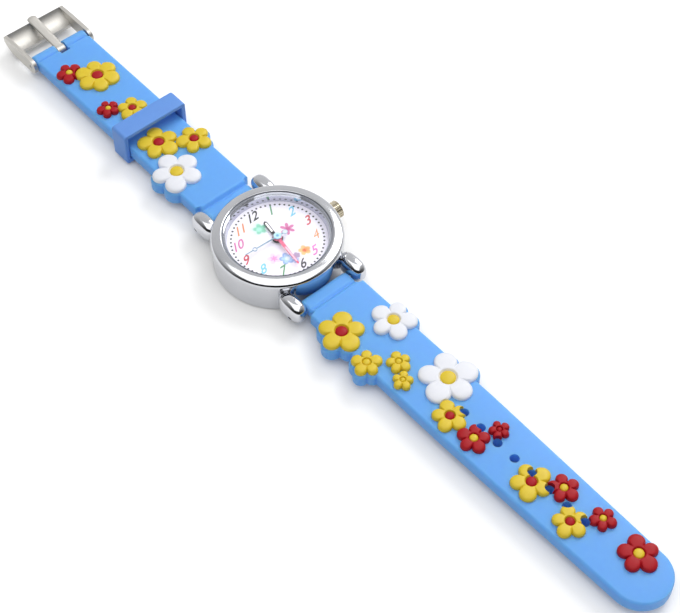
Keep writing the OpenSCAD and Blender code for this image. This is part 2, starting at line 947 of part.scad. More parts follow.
module minute_wheel() {
    own_turn = mesh_turn(minute_turn, minute_turn, cannon_leaves, minute_teeth);
    color("whitesmoke")
        translate([minute_xy[0], minute_xy[1], 0])
            difference() {
                union() {
                    translate([0, 0, cannon_z])
                        wheel(minute_teeth, minute_teeth * motion_module / 2, wheel_t, own_turn);
                    translate([0, 0, cannon_z])
                        wheel(minute_leaves, minute_leaves * motion_module / 2,
                            hour_z + wheel_t - cannon_z + level_gap / 4, minute_turn);
                }
                translate([0, 0, cannon_z - overrun])
                    cylinder(r = arbor_r + side_gap + pivot_gap, h = dial_z);
            }
}

module hour_wheel() {
    own_turn = mesh_turn(minute_turn + 180, minute_turn, minute_leaves, hour_teeth);
    color("darkgoldenrod")
        difference() {
            union() {
                translate([0, 0, hour_z])
                    wheel(hour_teeth, hour_teeth * motion_module / 2, wheel_t, own_turn);
                arbor(hour_z, hour_hand_z + hand_t, hour_out_r);
            }
            translate([0, 0, hour_z - overrun])
                cylinder(r = hour_in_r, h = overrun + hour_hand_z);
        }
}

// Small wheel between the clutch wheel and the minute wheel
module setting_wheel() {
    line = atan2(-minute_xy[1], setting_x - minute_xy[0]);
    minute_own = mesh_turn(minute_turn, minute_turn, cannon_leaves, minute_teeth);
    color("whitesmoke")
        translate([setting_x, 0, cannon_z])
            difference() {
                wheel(setting_teeth, setting_teeth * motion_module / 2, wheel_t,
                    mesh_turn(line, minute_own, minute_teeth, setting_teeth));
                translate([0, 0, -overrun])
                    cylinder(r = arbor_r + side_gap + pivot_gap, h = dial_z);
            }
}

// Toothed sleeve on the stem that turns the setting wheel when the crown is out
module clutch_wheel() {
    color("gray")
        translate([clutch_x, 0, stem_z])
            rotate([90, 0, 90])
                difference() {
                    wheel(clutch_teeth, clutch_r - clutch_tooth, clutch_len);
                    translate([0, 0, -overrun])
                        cylinder(r = stem_r + run_gap, h = clutch_len + 2 * overrun);
                }
}

// Lever on a stud of the main plate; its nose lies in the groove of the stem
module setting_lever() {
    eye_r = lever_w / 2 + side_gap;
    color("lightsteelblue")
        translate([lever_x, lever_y, stem_z - lever_t / 2])
            rotate(lever_swing)
                difference() {
                    union() {
                        cylinder(r = eye_r, h = lever_t);
                        translate([-lever_w / 2, 0, 0])
                            cube([lever_w, lever_arm - stem_r - level_gap, lever_t]);
                        translate([-lever_nose / 2, 0, 0])
                            cube([lever_nose, lever_arm, lever_t]);
                    }
                    translate([0, 0, -overrun])
                        cylinder(r = arbor_r + side_gap + pivot_gap, h = lever_t + 2 * overrun);
                }
}

module stem() {
    groove_half = lever_nose + groove_gap;
    color("lightsteelblue")
        translate([0, 0, stem_z])
            difference() {
                translate([stem_end_x, 0, 0])
                    rod_x(stem_r, crown_x + crown_len - crown_skin - stem_end_x);
                translate([groove_x - groove_half, 0, 0])
                    difference() {
                        rod_x(stem_r + overrun, 2 * groove_half);
                        rod_x(groove_r, 2 * groove_half);
                    }
            }
}

// Fluted knob with a domed end, hollow to slide over the crown tube
module crown() {
    dome_r = (crown_r * crown_r + crown_dome * crown_dome) / (2 * crown_dome);
    color("silver")
        translate([crown_x, 0, stem_z])
            rotate([90, 0, 90])
                difference() {
                    intersection() {
                        cylinder(r = crown_r, h = crown_len + crown_dome);
                        translate([0, 0, crown_len + crown_dome - dome_r])
                            sphere(r = dome_r);
                    }
                    for (i = [0 : crown_flutes - 1])
                        rotate(i * 360 / crown_flutes)
                            translate([crown_r, 0, -overrun])
                                cylinder(r = flute_r, h = overrun + crown_len);
                    translate([0, 0, -overrun])
                        cylinder(r = tube_r + gasket_w + 2 * seat_gap, h = overrun + crown_recess);
                    translate([0, 0, -overrun])
                        cylinder(r = stem_r + seat_gap, h = overrun + crown_len - crown_skin + seat_gap);
                }
}

module crown_gasket() {
    gasket_len = 0.5;
    color("black")
        translate([crown_x + seat_gap, 0, stem_z])
            rotate([90, 0, 90])
                ring(tube_r + gasket_w + seat_gap, tube_r + seat_gap, gasket_len);
}

// Metal tube in the wall of the case that guides the stem
module crown_tube() {
    color("silver")
        translate([bore_r, 0, stem_z])
            rotate([90, 0, 90])
                ring(tube_r, stem_r + run_gap, case_wall + tube_out);
}

// Pressed cover: a flat disc with a raised rim that the movement holder rests on
module case_back() {
    notch_r = 0.9;
    color("silver")
        difference() {
            union() {
                cylinder(r = back_r, h = back_t);
                translate([0, 0, back_t])
                    ring(rim_in_r + back_rim_w, rim_in_r, back_gap);
            }
            translate([0, -back_r - notch_r * half_share, -overrun])
                cylinder(r = notch_r, h = overrun + back_proud + seat_gap);
        }
}

module back_gasket() {
    color("black")
        translate([0, 0, back_t])
            ring(rim_in_r - seat_gap, rim_in_r - back_rim_w, back_gap - seat_gap);
}

// One spring bar: a tube with a narrower pin at each end
module spring_bar(between) {
    cross_rod(bar_r, between);
    cross_rod(bar_pin_d / 2, between + 2 * bar_pin);
}

module lug_spring_bars() {
    color("silver")
        for (y = [-bar_y, bar_y])
            translate([0, y, bar_z])
                spring_bar(lug_gap - 2 * side_gap);
}

// Flower outline: one lobe a petal, round the flower's middle
module at_lobes(r, turn, petals) {
    for (i = [0 : petals - 1])
        rotate(turn + i * 360 / petals)
            translate([r * lobe_reach_share, 0, 0])
                children();
}

module lobe_columns(r, turn, petals, extra, h) {
    at_lobes(r, turn, petals)
        cylinder(r = r * (1 - lobe_reach_share) + extra, h = h);
}

// Button with a straight side and a domed top
module domed(r, side_h, dome_h) {
    dome_r = (r * r + dome_h * dome_h) / (2 * dome_h);
    intersection() {
        cylinder(r = r, h = side_h + dome_h);
        translate([0, 0, side_h + dome_h - dome_r])
            sphere(r = dome_r);
    }
}

// Puffy petals that meet in creases, with a hole for the flower's centre
module petals_of(r, turn, petals) {
    difference() {
        at_lobes(r, turn, petals)
            domed(r * (1 - lobe_reach_share), flower_h * (1 - dome_share), flower_h * dome_share);
        translate([0, 0, -overrun])
            cylinder(r = r * centre_share + seat_gap, h = flower_h + 2 * overrun);
    }
}

module centre_of(r) {
    domed(r * centre_share, flower_h * (1 - dome_share), flower_h * dome_share);
}

function petal_count(shares) = shares == buckle_yellow_shares[0] ? 6 : 5;

// Runs through a table of flowers and places the children of one of these kinds on the strap
module flowers(shares, turns, picks, run, kind) {
    for (i = picks) {
        r = shares[i][2] * strap_w;
        n = petal_count(shares[i]);
        translate([shares[i][0] * strap_w / 2, shares[i][1] * run, 0]) {
            if (kind == "petals")
                translate([0, 0, strap_top])
                    petals_of(r, turns[i], n);
            if (kind == "centre")
                translate([0, 0, strap_top])
                    centre_of(r);
            if (kind == "pad")
                at_lobes(r, turns[i], n)
                    circle(r = r * (1 - lobe_reach_share) + pad_rim);
            if (kind == "trim")
                translate([0, 0, strap_top - overrun])
                    lobe_columns(r, turns[i], n, trim_gap, flower_h + 2 * overrun);
        }
    }
}

// Flat strap in plan: one width past the overhanging flowers, then narrowing evenly to its end
module strap_band(from_y, taper_y, to_y, w_to) {
    translate([0, 0, strap_bottom])
        linear_extrude(height = strap_t) {
            polygon([
                [-strap_w / 2, from_y], [strap_w / 2, from_y], [strap_w / 2, taper_y], [w_to / 2, to_y],
                [-w_to / 2, to_y], [-strap_w / 2, taper_y]
            ]);
            children();
        }
}

// Thinner root beside the lugs and the barrel on the spring bar
module strap_root_end() {
    root_top = bar_z + barrel_r - root_step;
    root_w = strap_w - root_in;
    translate([0, 0, bar_z])
        cross_rod(barrel_r, root_w);
    translate([-root_w / 2, 0, strap_bottom])
        cube([root_w, strap_root + groove_w, root_top - strap_bottom]);
}

module bar_bore(r, y, z) {
    translate([0, y, z])
        cross_rod(r + run_gap, strap_w + 2 * overrun);
}

module strap_holes(h, from_z) {
    for (i = [0 : hole_count - 1])
        translate([0, tip_strap_len - hole_from_tip - i * hole_pitch, from_z])
            cylinder(r = hole_d / 2, h = h);
}

module tip_strap() {
    round_y = tip_strap_len - tip_w / 2;
    color("deepskyblue")
        on_tip_side()
            difference() {
                union() {
                    strap_root_end();
                    strap_band(strap_root, tip_strap_len * taper_share, round_y, tip_w) {
                        translate([0, round_y])
                            circle(r = tip_w / 2 + tip_bulge);
                        flowers(tip_yellow_shares, tip_yellow_turns, tip_pads_yellow, tip_strap_len, "pad");
                        flowers(tip_white_shares, tip_white_turns, tip_white_all, tip_strap_len, "pad");
                    }
                }
                bar_bore(bar_r, 0, bar_z);
                strap_holes(strap_t + 2 * overrun, strap_bottom - overrun);
            }
}

// Yellow petals, and the yellow centres of the white and red flowers
module tip_strap_yellow() {
    color("gold")
        on_tip_side() {
            difference() {
                flowers(tip_yellow_shares, tip_yellow_turns, tip_yellow_all, tip_strap_len, "petals");
                strap_holes(flower_h + 2 * overrun, strap_top - overrun);
            }
            flowers(tip_yellow_shares, tip_yellow_turns, tip_yellow_plain, tip_strap_len, "centre");
            flowers(tip_white_shares, tip_white_turns, tip_white_all, tip_strap_len, "centre");
            flowers(tip_red_shares, tip_red_turns, tip_red_with_yellow, tip_strap_len, "centre");
        }
}

// Red petals, and the red centres of the yellow flowers
module tip_strap_red() {
    color("crimson")
        on_tip_side() {
            difference() {
                flowers(tip_red_shares, tip_red_turns, tip_red_all, tip_strap_len, "petals");
                strap_holes(flower_h + 2 * overrun, strap_top - overrun);
                flowers(tip_yellow_shares, tip_yellow_turns, tip_yellow_all, tip_strap_len, "trim");
            }
            flowers(tip_red_shares, tip_red_turns, tip_red_plain, tip_strap_len, "centre");
            difference() {
                flowers(tip_yellow_shares, tip_yellow_turns, tip_yellow_with_red, tip_strap_len, "centre");
                strap_holes(flower_h + 2 * overrun, strap_top - overrun);
            }
        }
}

module tip_strap_white() {
    color("white")
        on_tip_side()
            difference() {
                flowers(tip_white_shares, tip_white_turns, tip_white_all, tip_strap_len, "petals");
                strap_holes(flower_h + 2 * overrun, strap_top - overrun);
                flowers(tip_yellow_shares, tip_yellow_turns, tip_yellow_all, tip_strap_len, "trim");
            }
}

module buckle_strap() {
    plan_len = buckle_strap_len;
    body_end = plan_len - buckle_barrel_r;
    slot_w = tongue_w + 2 * slot_gap;
    color("deepskyblue")
        on_buckle_side()
            difference() {
                union() {
                    strap_root_end();
                    strap_band(strap_root, buckle_strap_len * taper_share, body_end, strap_w) {
                        flowers(buckle_yellow_shares, buckle_yellow_turns, buckle_pads, plan_len, "pad");
                        flowers(buckle_white_shares, buckle_white_turns, buckle_white_all, plan_len, "pad");
                    }
                    translate([0, buckle_strap_len, buckle_bar_z])
                        cross_rod(buckle_barrel_r, strap_w);
                    translate([-strap_w / 2, body_end - groove_w, strap_bottom])
                        cube([strap_w, buckle_barrel_r + groove_w, strap_t - root_step]);
                }
                bar_bore(bar_r, 0, bar_z);
                bar_bore(bar_r, buckle_strap_len, buckle_bar_z);
                translate([-slot_w / 2, buckle_strap_len - slot_depth, strap_bottom - overrun])
                    cube([slot_w, slot_depth + buckle_barrel_r + overrun, strap_t + 2 * overrun]);
            }
}

module buckle_strap_yellow() {
    color("gold")
        on_buckle_side() {
            flowers(buckle_yellow_shares, buckle_yellow_turns, buckle_yellow_all, buckle_strap_len,
                "petals");
            flowers(buckle_white_shares, buckle_white_turns, buckle_white_all, buckle_strap_len, "centre");
            flowers(buckle_red_shares, buckle_red_turns, buckle_red_all, buckle_strap_len, "centre");
        }
}

module buckle_strap_red() {
    color("crimson")
        on_buckle_side() {
            difference() {
                flowers(buckle_red_shares, buckle_red_turns, buckle_red_all, buckle_strap_len, "petals");
                flowers(buckle_yellow_shares, buckle_yellow_turns, buckle_yellow_all, buckle_strap_len,
                    "trim");
            }
            flowers(buckle_yellow_shares, buckle_yellow_turns, buckle_yellow_all, buckle_strap_len,
                "centre");
        }
}

module buckle_strap_white() {
    color("white")
        on_buckle_side()
            difference() {
                flowers(buckle_white_shares, buckle_white_turns, buckle_white_all, buckle_strap_len,
                    "petals");
                flowers(buckle_yellow_shares, buckle_yellow_turns, buckle_yellow_all, buckle_strap_len,
                    "trim");
            }
}

// Loop that slides along the buckle strap and holds the strap's free end
module strap_keeper() {
    in_w = strap_w + 2 * keeper_gap;
    in_h = strap_t + keeper_gap + keeper_room;
    color("cornflowerblue")
        on_buckle_side()
            translate([0, keeper_at + keeper_len / 2, strap_bottom - keeper_gap - keeper_wall])
                rotate([90, 0, 0])
                    linear_extrude(height = keeper_len)
                        difference() {
                            round_rect(in_w + 2 * keeper_wall, in_h + 2 * keeper_wall, keeper_round);
                            translate([0, keeper_wall])
                                round_rect(in_w, in_h, keeper_round * half_share);
                        }
}

// Buckle parts: Y runs out from the buckle bar, Z up from it
module at_buckle_bar() {
    translate([0, bar_y + buckle_strap_len, buckle_bar_z])
        children();
}

// Side walls with round ends on the bar, joined by a plate that curves up to its far edge
module buckle_frame() {
    low = plate_low - buckle_bar_z;
    wall_top = buckle_barrel_r + wall_rise;
    out_w = buckle_in_w + 2 * buckle_wall;
    bend_y = plate_from;
    bend_z = low + buckle_plate_t + plate_bend_r;
    far_z = bend_z - sqrt(pow(plate_bend_r, 2) - pow(buckle_reach - bend_y, 2));
    color("lightgray")
        at_buckle_bar()
            difference() {
                union() {
                    for (s = [-1, 1])
                        translate([s * (buckle_in_w + buckle_wall) / 2, 0, 0]) {
                            cross_rod(buckle_barrel_r, buckle_wall);
                            rotate([90, 0, 90])
                                linear_extrude(height = buckle_wall, center = true)
                                    polygon([
                                        [0, -buckle_barrel_r], [plate_from, low],
                                        [buckle_reach, far_z - wall_drop],
                                        [buckle_reach, far_z], [plate_from, wall_top - wall_drop],
                                        [0, buckle_barrel_r]
                                    ]);
                        }
                    intersection() {
                        translate([0, bend_y, bend_z])
                            difference() {
                                cross_rod(plate_bend_r + buckle_plate_t, out_w);
                                cross_rod(plate_bend_r, out_w + 2 * overrun);
                            }
                        translate([-out_w / 2, plate_from, low])
                            cube([out_w, buckle_reach - plate_from, far_z - low]);
                    }
                }
                cross_rod(bar_pin_d / 2 + run_gap, out_w + 2 * overrun);
            }
}

// Tongue: an eye on the bar, an arm that rests on the plate's far edge, and a blunt tip past it
module buckle_tongue() {
    bend_z = plate_low - buckle_bar_z + buckle_plate_t + plate_bend_r;
    far_z = bend_z - sqrt(pow(plate_bend_r, 2) - pow(buckle_reach - plate_from, 2));
    rest = far_z + run_gap;
    tip_y = buckle_reach + tongue_over;
    color("lightgray")
        at_buckle_bar()
            difference() {
                union() {
                    cross_rod(tongue_loop_r, tongue_w);
                    rotate([90, 0, 90])
                        linear_extrude(height = tongue_w, center = true)
                            polygon([
                                [0, tongue_loop_r - tongue_t], [buckle_reach - wall_drop, rest],
                                [tip_y, rest], [tip_y, rest + tongue_t * half_share],
                                [buckle_reach, rest + tongue_t],
                                [0, tongue_loop_r]
                            ]);
                }
                cross_rod(bar_r + run_gap, tongue_w + 2 * overrun);
            }
}

module buckle_spring_bar() {
    color("silver")
        at_buckle_bar() {
            cross_rod(bar_r, buckle_in_w - 2 * side_gap);
            cross_rod(bar_pin_d / 2, buckle_in_w + 2 * buckle_wall - 2 * run_gap);
        }
}

case_body();
bezel();
crystal();
crystal_gasket();
dial_ring();
dial();
hour_hand();
minute_hand();
second_hand();
movement_holder();
main_plate();
train_bridge();
bridge_screws();
battery();
battery_clip();
circuit_board();
quartz_can();
coil();
stator();
rotor();
intermediate_wheel();
seconds_wheel();
third_wheel();
centre_wheel();
cannon_pinion();
minute_wheel();
hour_wheel();
setting_wheel();
clutch_wheel();
setting_lever();
stem();
crown();
crown_gasket();
crown_tube();
case_back();
back_gasket();
lug_spring_bars();
buckle_strap();
buckle_strap_yellow();
buckle_strap_red();
buckle_strap_white();
tip_strap();
tip_strap_yellow();
tip_strap_red();
tip_strap_white();
strap_keeper();
buckle_frame();
buckle_tongue();
buckle_spring_bar();
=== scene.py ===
import math

import bmesh
import bpy
import numpy as np
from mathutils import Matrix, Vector


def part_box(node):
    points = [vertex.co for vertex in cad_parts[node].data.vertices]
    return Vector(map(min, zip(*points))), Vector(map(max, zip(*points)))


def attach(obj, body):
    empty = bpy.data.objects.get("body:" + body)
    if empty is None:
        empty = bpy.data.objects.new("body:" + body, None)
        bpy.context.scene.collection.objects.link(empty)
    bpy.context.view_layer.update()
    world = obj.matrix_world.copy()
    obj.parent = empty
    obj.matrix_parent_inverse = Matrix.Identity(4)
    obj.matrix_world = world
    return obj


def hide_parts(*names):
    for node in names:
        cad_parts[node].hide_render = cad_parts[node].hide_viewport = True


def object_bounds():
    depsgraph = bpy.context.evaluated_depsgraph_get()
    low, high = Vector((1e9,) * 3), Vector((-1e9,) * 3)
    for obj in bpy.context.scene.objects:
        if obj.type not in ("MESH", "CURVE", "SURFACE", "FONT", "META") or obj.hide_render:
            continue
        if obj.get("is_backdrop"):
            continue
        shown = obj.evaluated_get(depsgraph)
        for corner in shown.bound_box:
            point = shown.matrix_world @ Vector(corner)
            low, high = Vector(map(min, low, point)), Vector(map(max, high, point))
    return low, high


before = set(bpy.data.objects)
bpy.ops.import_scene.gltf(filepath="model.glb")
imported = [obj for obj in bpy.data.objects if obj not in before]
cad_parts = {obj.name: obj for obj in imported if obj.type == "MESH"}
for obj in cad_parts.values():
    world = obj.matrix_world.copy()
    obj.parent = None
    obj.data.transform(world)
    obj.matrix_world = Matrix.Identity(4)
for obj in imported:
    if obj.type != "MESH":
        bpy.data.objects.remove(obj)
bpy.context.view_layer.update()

# Quartz movement
# Stamped and turned metal plates, wheels and pins, a moulded ring round them, a green circuit
# board and a copper coil. The ring holds it all in the case, under the dial.


def screen(r, g, b):
    """Linear colour of an 8-bit screen colour: a straight foot, then a power of 2.4."""
    c = np.array([r, g, b]) / 255
    return (*np.where(c <= 0.04045, c / 12.92, ((c + 0.055) / 1.055) ** 2.4).tolist(), 1.0)


def name_sockets(group, in_out, **kinds):
    """Gives a node group its inputs or outputs, each by name and kind, with _ for a space."""
    for name, kind in kinds.items():
        socket_type = "NodeSocket" + kind
        group.interface.new_socket(name.replace("_", " "), in_out=in_out, socket_type=socket_type)


def set_inputs(node, **values):
    """Sets values on a node's inputs by name, with _ for a space."""
    for name, value in values.items():
        node.inputs[name.replace("_", " ")].default_value = value


GRAIN_DETAIL = 3.0


def grain_group():
    """Fine grain: noise on stretched Object coordinates moves the colour between two tints and
    the roughness between two levels, and is itself the height for a bump."""
    group = bpy.data.node_groups.new("surface_grain", "ShaderNodeTree")
    name_sockets(group, "INPUT", Stretch="Vector", Light="Color", Dark="Color", Smooth="Float", Rough="Float")
    name_sockets(group, "OUTPUT", Colour="Color", Roughness="Float", Height="Float")
    nodes, link = group.nodes, group.links.new
    given, out = nodes.new("NodeGroupInput"), nodes.new("NodeGroupOutput")
    place = nodes.new("ShaderNodeTexCoord")
    stretch = nodes.new("ShaderNodeVectorMath")
    stretch.operation = "MULTIPLY"
    link(place.outputs["Object"], stretch.inputs[0])
    link(given.outputs["Stretch"], stretch.inputs[1])
    noise = nodes.new("ShaderNodeTexNoise")
    set_inputs(noise, Scale=1.0, Detail=GRAIN_DETAIL)
    link(stretch.outputs[0], noise.inputs["Vector"])
    tint = nodes.new("ShaderNodeMix")
    tint.data_type = "RGBA"
    link(noise.outputs["Fac"], tint.inputs["Factor"])
    link(given.outputs["Dark"], tint.inputs["A"])
    link(given.outputs["Light"], tint.inputs["B"])
    level = nodes.new("ShaderNodeMapRange")
    link(noise.outputs["Fac"], level.inputs["Value"])
    link(given.outputs["Smooth"], level.inputs["To Min"])
    link(given.outputs["Rough"], level.inputs["To Max"])
    link(tint.outputs["Result"], out.inputs["Colour"])
    link(level.outputs["Result"], out.inputs["Roughness"])
    link(noise.outputs["Fac"], out.inputs["Height"])
    return group


surface_grain = grain_group()
FINE_DENT = 0.00003


def finish(name, light, dark, stretch, smooth, rough, bump, depth=FINE_DENT, **sockets):
    """Principled surface with the grain group on colour, roughness and bump, from two screen colours;
    the other sockets are set on the shader itself."""
    material = bpy.data.materials.new(name)
    material.use_nodes = True
    nodes, link = material.node_tree.nodes, material.node_tree.links.new
    shader = nodes["Principled BSDF"]
    grain = nodes.new("ShaderNodeGroup")
    grain.name, grain.node_tree = "grain", surface_grain
    light, dark = screen(*light), screen(*dark)
    set_inputs(grain, Stretch=stretch, Light=light, Dark=dark, Smooth=smooth, Rough=rough)
    dent = nodes.new("ShaderNodeBump")
    set_inputs(dent, Strength=bump, Distance=depth)
    link(grain.outputs["Colour"], shader.inputs["Base Color"])
    link(grain.outputs["Roughness"], shader.inputs["Roughness"])
    link(grain.outputs["Height"], dent.inputs["Height"])
    link(dent.outputs["Normal"], shader.inputs["Normal"])
    set_inputs(shader, **sockets)
    return material


def dress(material, *names):
    """Puts a finish on CAD nodes, in all their material slots."""
    for name in names:
        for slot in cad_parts[name].material_slots:
            slot.material = material


# Grain of the finishes along X, Y and Z, in waves per metre
EVEN = (2600, 2600, 2600)
ROLLED = (900, 6000, 900)
TURNED = (400, 9000, 9000)
WOUND = (2600, 2600, 16000)
brass = finish("rolled_brass", (214, 186, 120), (186, 154, 88), ROLLED, 0.22, 0.4, 0.15, Metallic=1.0)
nickel = finish("nickel_plate", (206, 204, 198), (178, 176, 170), ROLLED, 0.2, 0.36, 0.15, Metallic=1.0)
steel_pin = finish("turned_steel", (190, 193, 198), (158, 160, 166), TURNED, 0.18, 0.34, 0.1, Metallic=1.0)
acetal = finish("moulded_acetal", (236, 232, 220), (222, 216, 200), EVEN, 0.42, 0.56, 0.1)
board_mask = finish("solder_mask", (28, 104, 66), (14, 74, 46), EVEN, 0.25, 0.42, 0.2, Coat_Weight=0.3)
enamel_wire = finish("enamelled_wire", (196, 110, 58), (140, 70, 34), WOUND, 0.25, 0.42, 0.5, Metallic=0.8)
magnet = finish("sintered_magnet", (96, 98, 104), (66, 68, 74), EVEN, 0.4, 0.6, 0.2, Metallic=0.8)
dress(acetal, "movement_holder", "intermediate_wheel", "minute_wheel", "hour_wheel", "setting_wheel")
dress(nickel, "main_plate", "train_bridge", "battery_clip", "stator")
dress(brass, "seconds_wheel", "third_wheel", "centre_wheel", "cannon_pinion")
dress(steel_pin, "bridge_screws", "battery", "quartz_can", "clutch_wheel", "setting_lever", "stem")
dress(board_mask, "circuit_board")
dress(enamel_wire, "coil")
dress(magnet, "rotor")

# Case, lugs and case back
# The middle case and its four lugs are one zinc casting, polished and chrome plated. The back is
# a stamped steel lid pressed over a rubber ring, with a turned, satin face.
SMUDGE = (240, 240, 240)
POLISH_DENT = 0.00001
chrome = finish("chrome_plate", (214, 215, 219), (198, 200, 205), SMUDGE, 0.07, 0.17, 0.04,
                POLISH_DENT, Metallic=1.0)
satin_back = finish("turned_satin_steel", (204, 204, 206), (172, 173, 176), ROLLED, 0.26, 0.42,
                    0.3, Metallic=1.0)
rubber = finish("black_rubber", (44, 44, 46), (28, 28, 30), EVEN, 0.5, 0.7, 0.3)
dress(chrome, "crown_tube")
dress(steel_pin, "lug_spring_bars")
dress(satin_back, "case_back")
dress(rubber, "back_gasket", "crown_gasket")


def loft(x, y, z, ring=False):
    """Closed skin over a grid of loops: the coordinates, each a grid, a row or a column, spread to one
    grid, and quads join each loop to the next. Open ends are closed by a fan to the loop's mean point;
    with ring, the last loop joins the first."""
    rows = np.stack(np.broadcast_arrays(x, y, z), -1)
    n, m, _ = rows.shape
    at = np.arange(n * m).reshape(n, m)
    if ring:
        at = np.vstack([at, at[:1]])
    side = np.roll(at, -1, axis=1)
    faces = np.stack([at[:-1], side[:-1], side[1:], at[1:]], -1).reshape(-1, 4).tolist()
    points = rows.reshape(-1, 3)
    if not ring:
        points = np.vstack([points, rows[0].mean(0), rows[-1].mean(0)])
        faces += np.stack([side[0], at[0], np.full(m, n * m)], -1).tolist()
        faces += np.stack([at[-1], side[-1], np.full(m, n * m + 1)], -1).tolist()
    return points, faces


# Millimetres in a metre, the distance in metres below which two points are one, and the bends in
# degrees from which an edge stays sharp
MM = 1000
MERGE = 1e-8
SHARP_BEND, FINE_BEND = 40, 30


def settle(mesh, crease):
    """Turns the faces outwards and smooths all edges that bend less than the crease angle."""
    work = bmesh.new()
    work.from_mesh(mesh)
    bmesh.ops.remove_doubles(work, verts=work.verts, dist=MERGE)
    bmesh.ops.recalc_face_normals(work, faces=work.faces)
    work.to_mesh(mesh)
    work.free()
    mesh.polygons.foreach_set("use_smooth", np.ones(len(mesh.polygons), dtype=bool))
    mesh.set_sharp_from_angle(angle=math.radians(crease))


def put(name, data):
    """New object in the scene, at the origin."""
    thing = bpy.data.objects.new(name, data)
    bpy.context.scene.collection.objects.link(thing)
    return thing


def piece_of(name, skins, material, crease=SHARP_BEND, inks=None):
    """One object from closed skins given in millimetres; inks gives each skin's own colour."""
    counts = [len(points) for points, _ in skins]
    starts = np.cumsum([0] + counts)
    points = np.vstack([points for points, _ in skins]) / MM
    faces = [[int(i + start) for i in face] for start, (_, skin) in zip(starts, skins) for face in skin]
    mesh = bpy.data.meshes.new(name)
    mesh.from_pydata(points.tolist(), [], faces)
    if inks:
        layer = mesh.color_attributes.new("ink", "FLOAT_COLOR", "POINT")
        layer.data.foreach_set("color", np.repeat(np.array(inks), counts, axis=0).ravel())
    settle(mesh, crease)
    mesh.materials.append(material)
    return put(name, mesh)


def carve(piece, skins, how="DIFFERENCE", crease=SHARP_BEND):
    """Takes closed skins out of a piece, or joins them to it, and keeps the result as its mesh."""
    tool = piece_of("tool", skins, piece.data.materials[0])
    boolean = piece.modifiers.new("carve", "BOOLEAN")
    boolean.operation, boolean.solver, boolean.object = how, "EXACT", tool
    graph = bpy.context.evaluated_depsgraph_get()
    mesh = bpy.data.meshes.new_from_object(piece.evaluated_get(graph))
    piece.modifiers.clear()
    piece.data = mesh
    settle(mesh, crease)
    bpy.data.objects.remove(tool)


def corners(name):
    """Lowest and highest corner of a CAD node at rest, in millimetres."""
    low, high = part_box(name)
    return np.array(low) * MM, np.array(high) * MM


TURN_SIDES, ROD_SIDES = 240, 32


def full_turn(sides):
    """Angles once round, in even steps."""
    return np.linspace(0, 2 * np.pi, sides, endpoint=False)


def turned_skin(profile):
    """Solid of revolution: a closed outline of radii and heights, carried round the upright axis."""
    turn = full_turn(TURN_SIDES)[:, None]
    radius, height = np.array(profile).T
    return loft(radius * np.cos(turn), radius * np.sin(turn), height, ring=True)


def rod_skin(start, end, y, z, radius):
    """Drum along X: two circles of the same radius, one beyond the other."""
    turn = full_turn(ROD_SIDES)
    return loft(np.array([[start], [end]]), y + radius * np.cos(turn), z + radius * np.sin(turn))


def soft_ring(sides, soft):
    """Superellipse of half size one: the cosine and the sine of even angles, each to the power of two
    by soft, with its sign kept."""
    turn = full_turn(sides)
    wave = np.stack([np.cos(turn), np.sin(turn)])
    return np.sign(wave) * np.abs(wave) ** (2 / soft)


LUG_AT, LUG_HALF, LUG_SOFT = (7.82, 13.85, 3.75), (1.8, 3.4, 2.36), 2.7
LUG_ROWS, LUG_SIDES, ALMOST = 49, 64, 0.998


def lug_skin(side, end):
    """Lug: a rounded bar. Across it the section is a superellipse, and towards both ends the section
    shrinks to nothing by the same power of the share of the half length."""
    share = np.sin(np.linspace(-ALMOST, ALMOST, LUG_ROWS) * np.pi / 2)[:, None]
    bent = soft_ring(LUG_SIDES, LUG_SOFT)
    full = (1 - np.abs(share) ** LUG_SOFT) ** (1 / LUG_SOFT)
    x = side * (LUG_AT[0] + LUG_HALF[0] * full * bent[0])
    y = end * (LUG_AT[1] + LUG_HALF[1] * share)
    return loft(x, y, LUG_AT[2] + LUG_HALF[2] * full * bent[1])


CASE_R, BORE_R, BACK_R = 13.36, 10.9, 11.63
CASE_LOW, BACK_SEAT, CASE_TOP = 0.12, 0.73, 5.9
CASE_ROUND, ROUND_STEPS = 0.35, 8
PIN_R, TUBE_GAP, OVERRUN = 0.42, 0.02, 1
bars_low, bars_high = corners("lug_spring_bars")
BAR_Z = (bars_low[2] + bars_high[2]) / 2
BAR_Y = bars_high[1] - (bars_high[2] - BAR_Z)
tube_low, tube_high = corners("crown_tube")
tube_z, tube_r = (tube_low[2] + tube_high[2]) / 2, (tube_high[2] - tube_low[2]) / 2
quarter = np.radians(np.linspace(0, 90, ROUND_STEPS))
foot_r = CASE_R - CASE_ROUND * (1 - np.sin(quarter))
foot_z = CASE_LOW + CASE_ROUND * (1 - np.cos(quarter))
case_profile = [(BORE_R, BACK_SEAT), (BACK_R, BACK_SEAT), (BACK_R, CASE_LOW), *zip(foot_r, foot_z),
                (CASE_R, CASE_TOP), (BORE_R, CASE_TOP)]
case = piece_of("case_casting", [turned_skin(case_profile)], chrome)
for side, end in ((1, 1), (-1, 1), (-1, -1), (1, -1)):
    carve(case, [lug_skin(side, end)], "UNION")
    lug_mid = side * LUG_AT[0]
    start, stop = lug_mid - LUG_HALF[0] - OVERRUN, lug_mid + LUG_HALF[0] + OVERRUN
    carve(case, [rod_skin(start, stop, end * BAR_Y, BAR_Z, PIN_R)])
carve(case, [rod_skin(BORE_R - OVERRUN, CASE_R + OVERRUN, 0, tube_z, tube_r + TUBE_GAP)])
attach(case, "case")
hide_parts("case_body")

# Dial and its print
# A thin white disc, printed in soft colours with six small flowers, then pad printed with sixty
# minute dots and slanted coloured numbers in a slightly raised ink.
dial_top = corners("dial")[1][2]


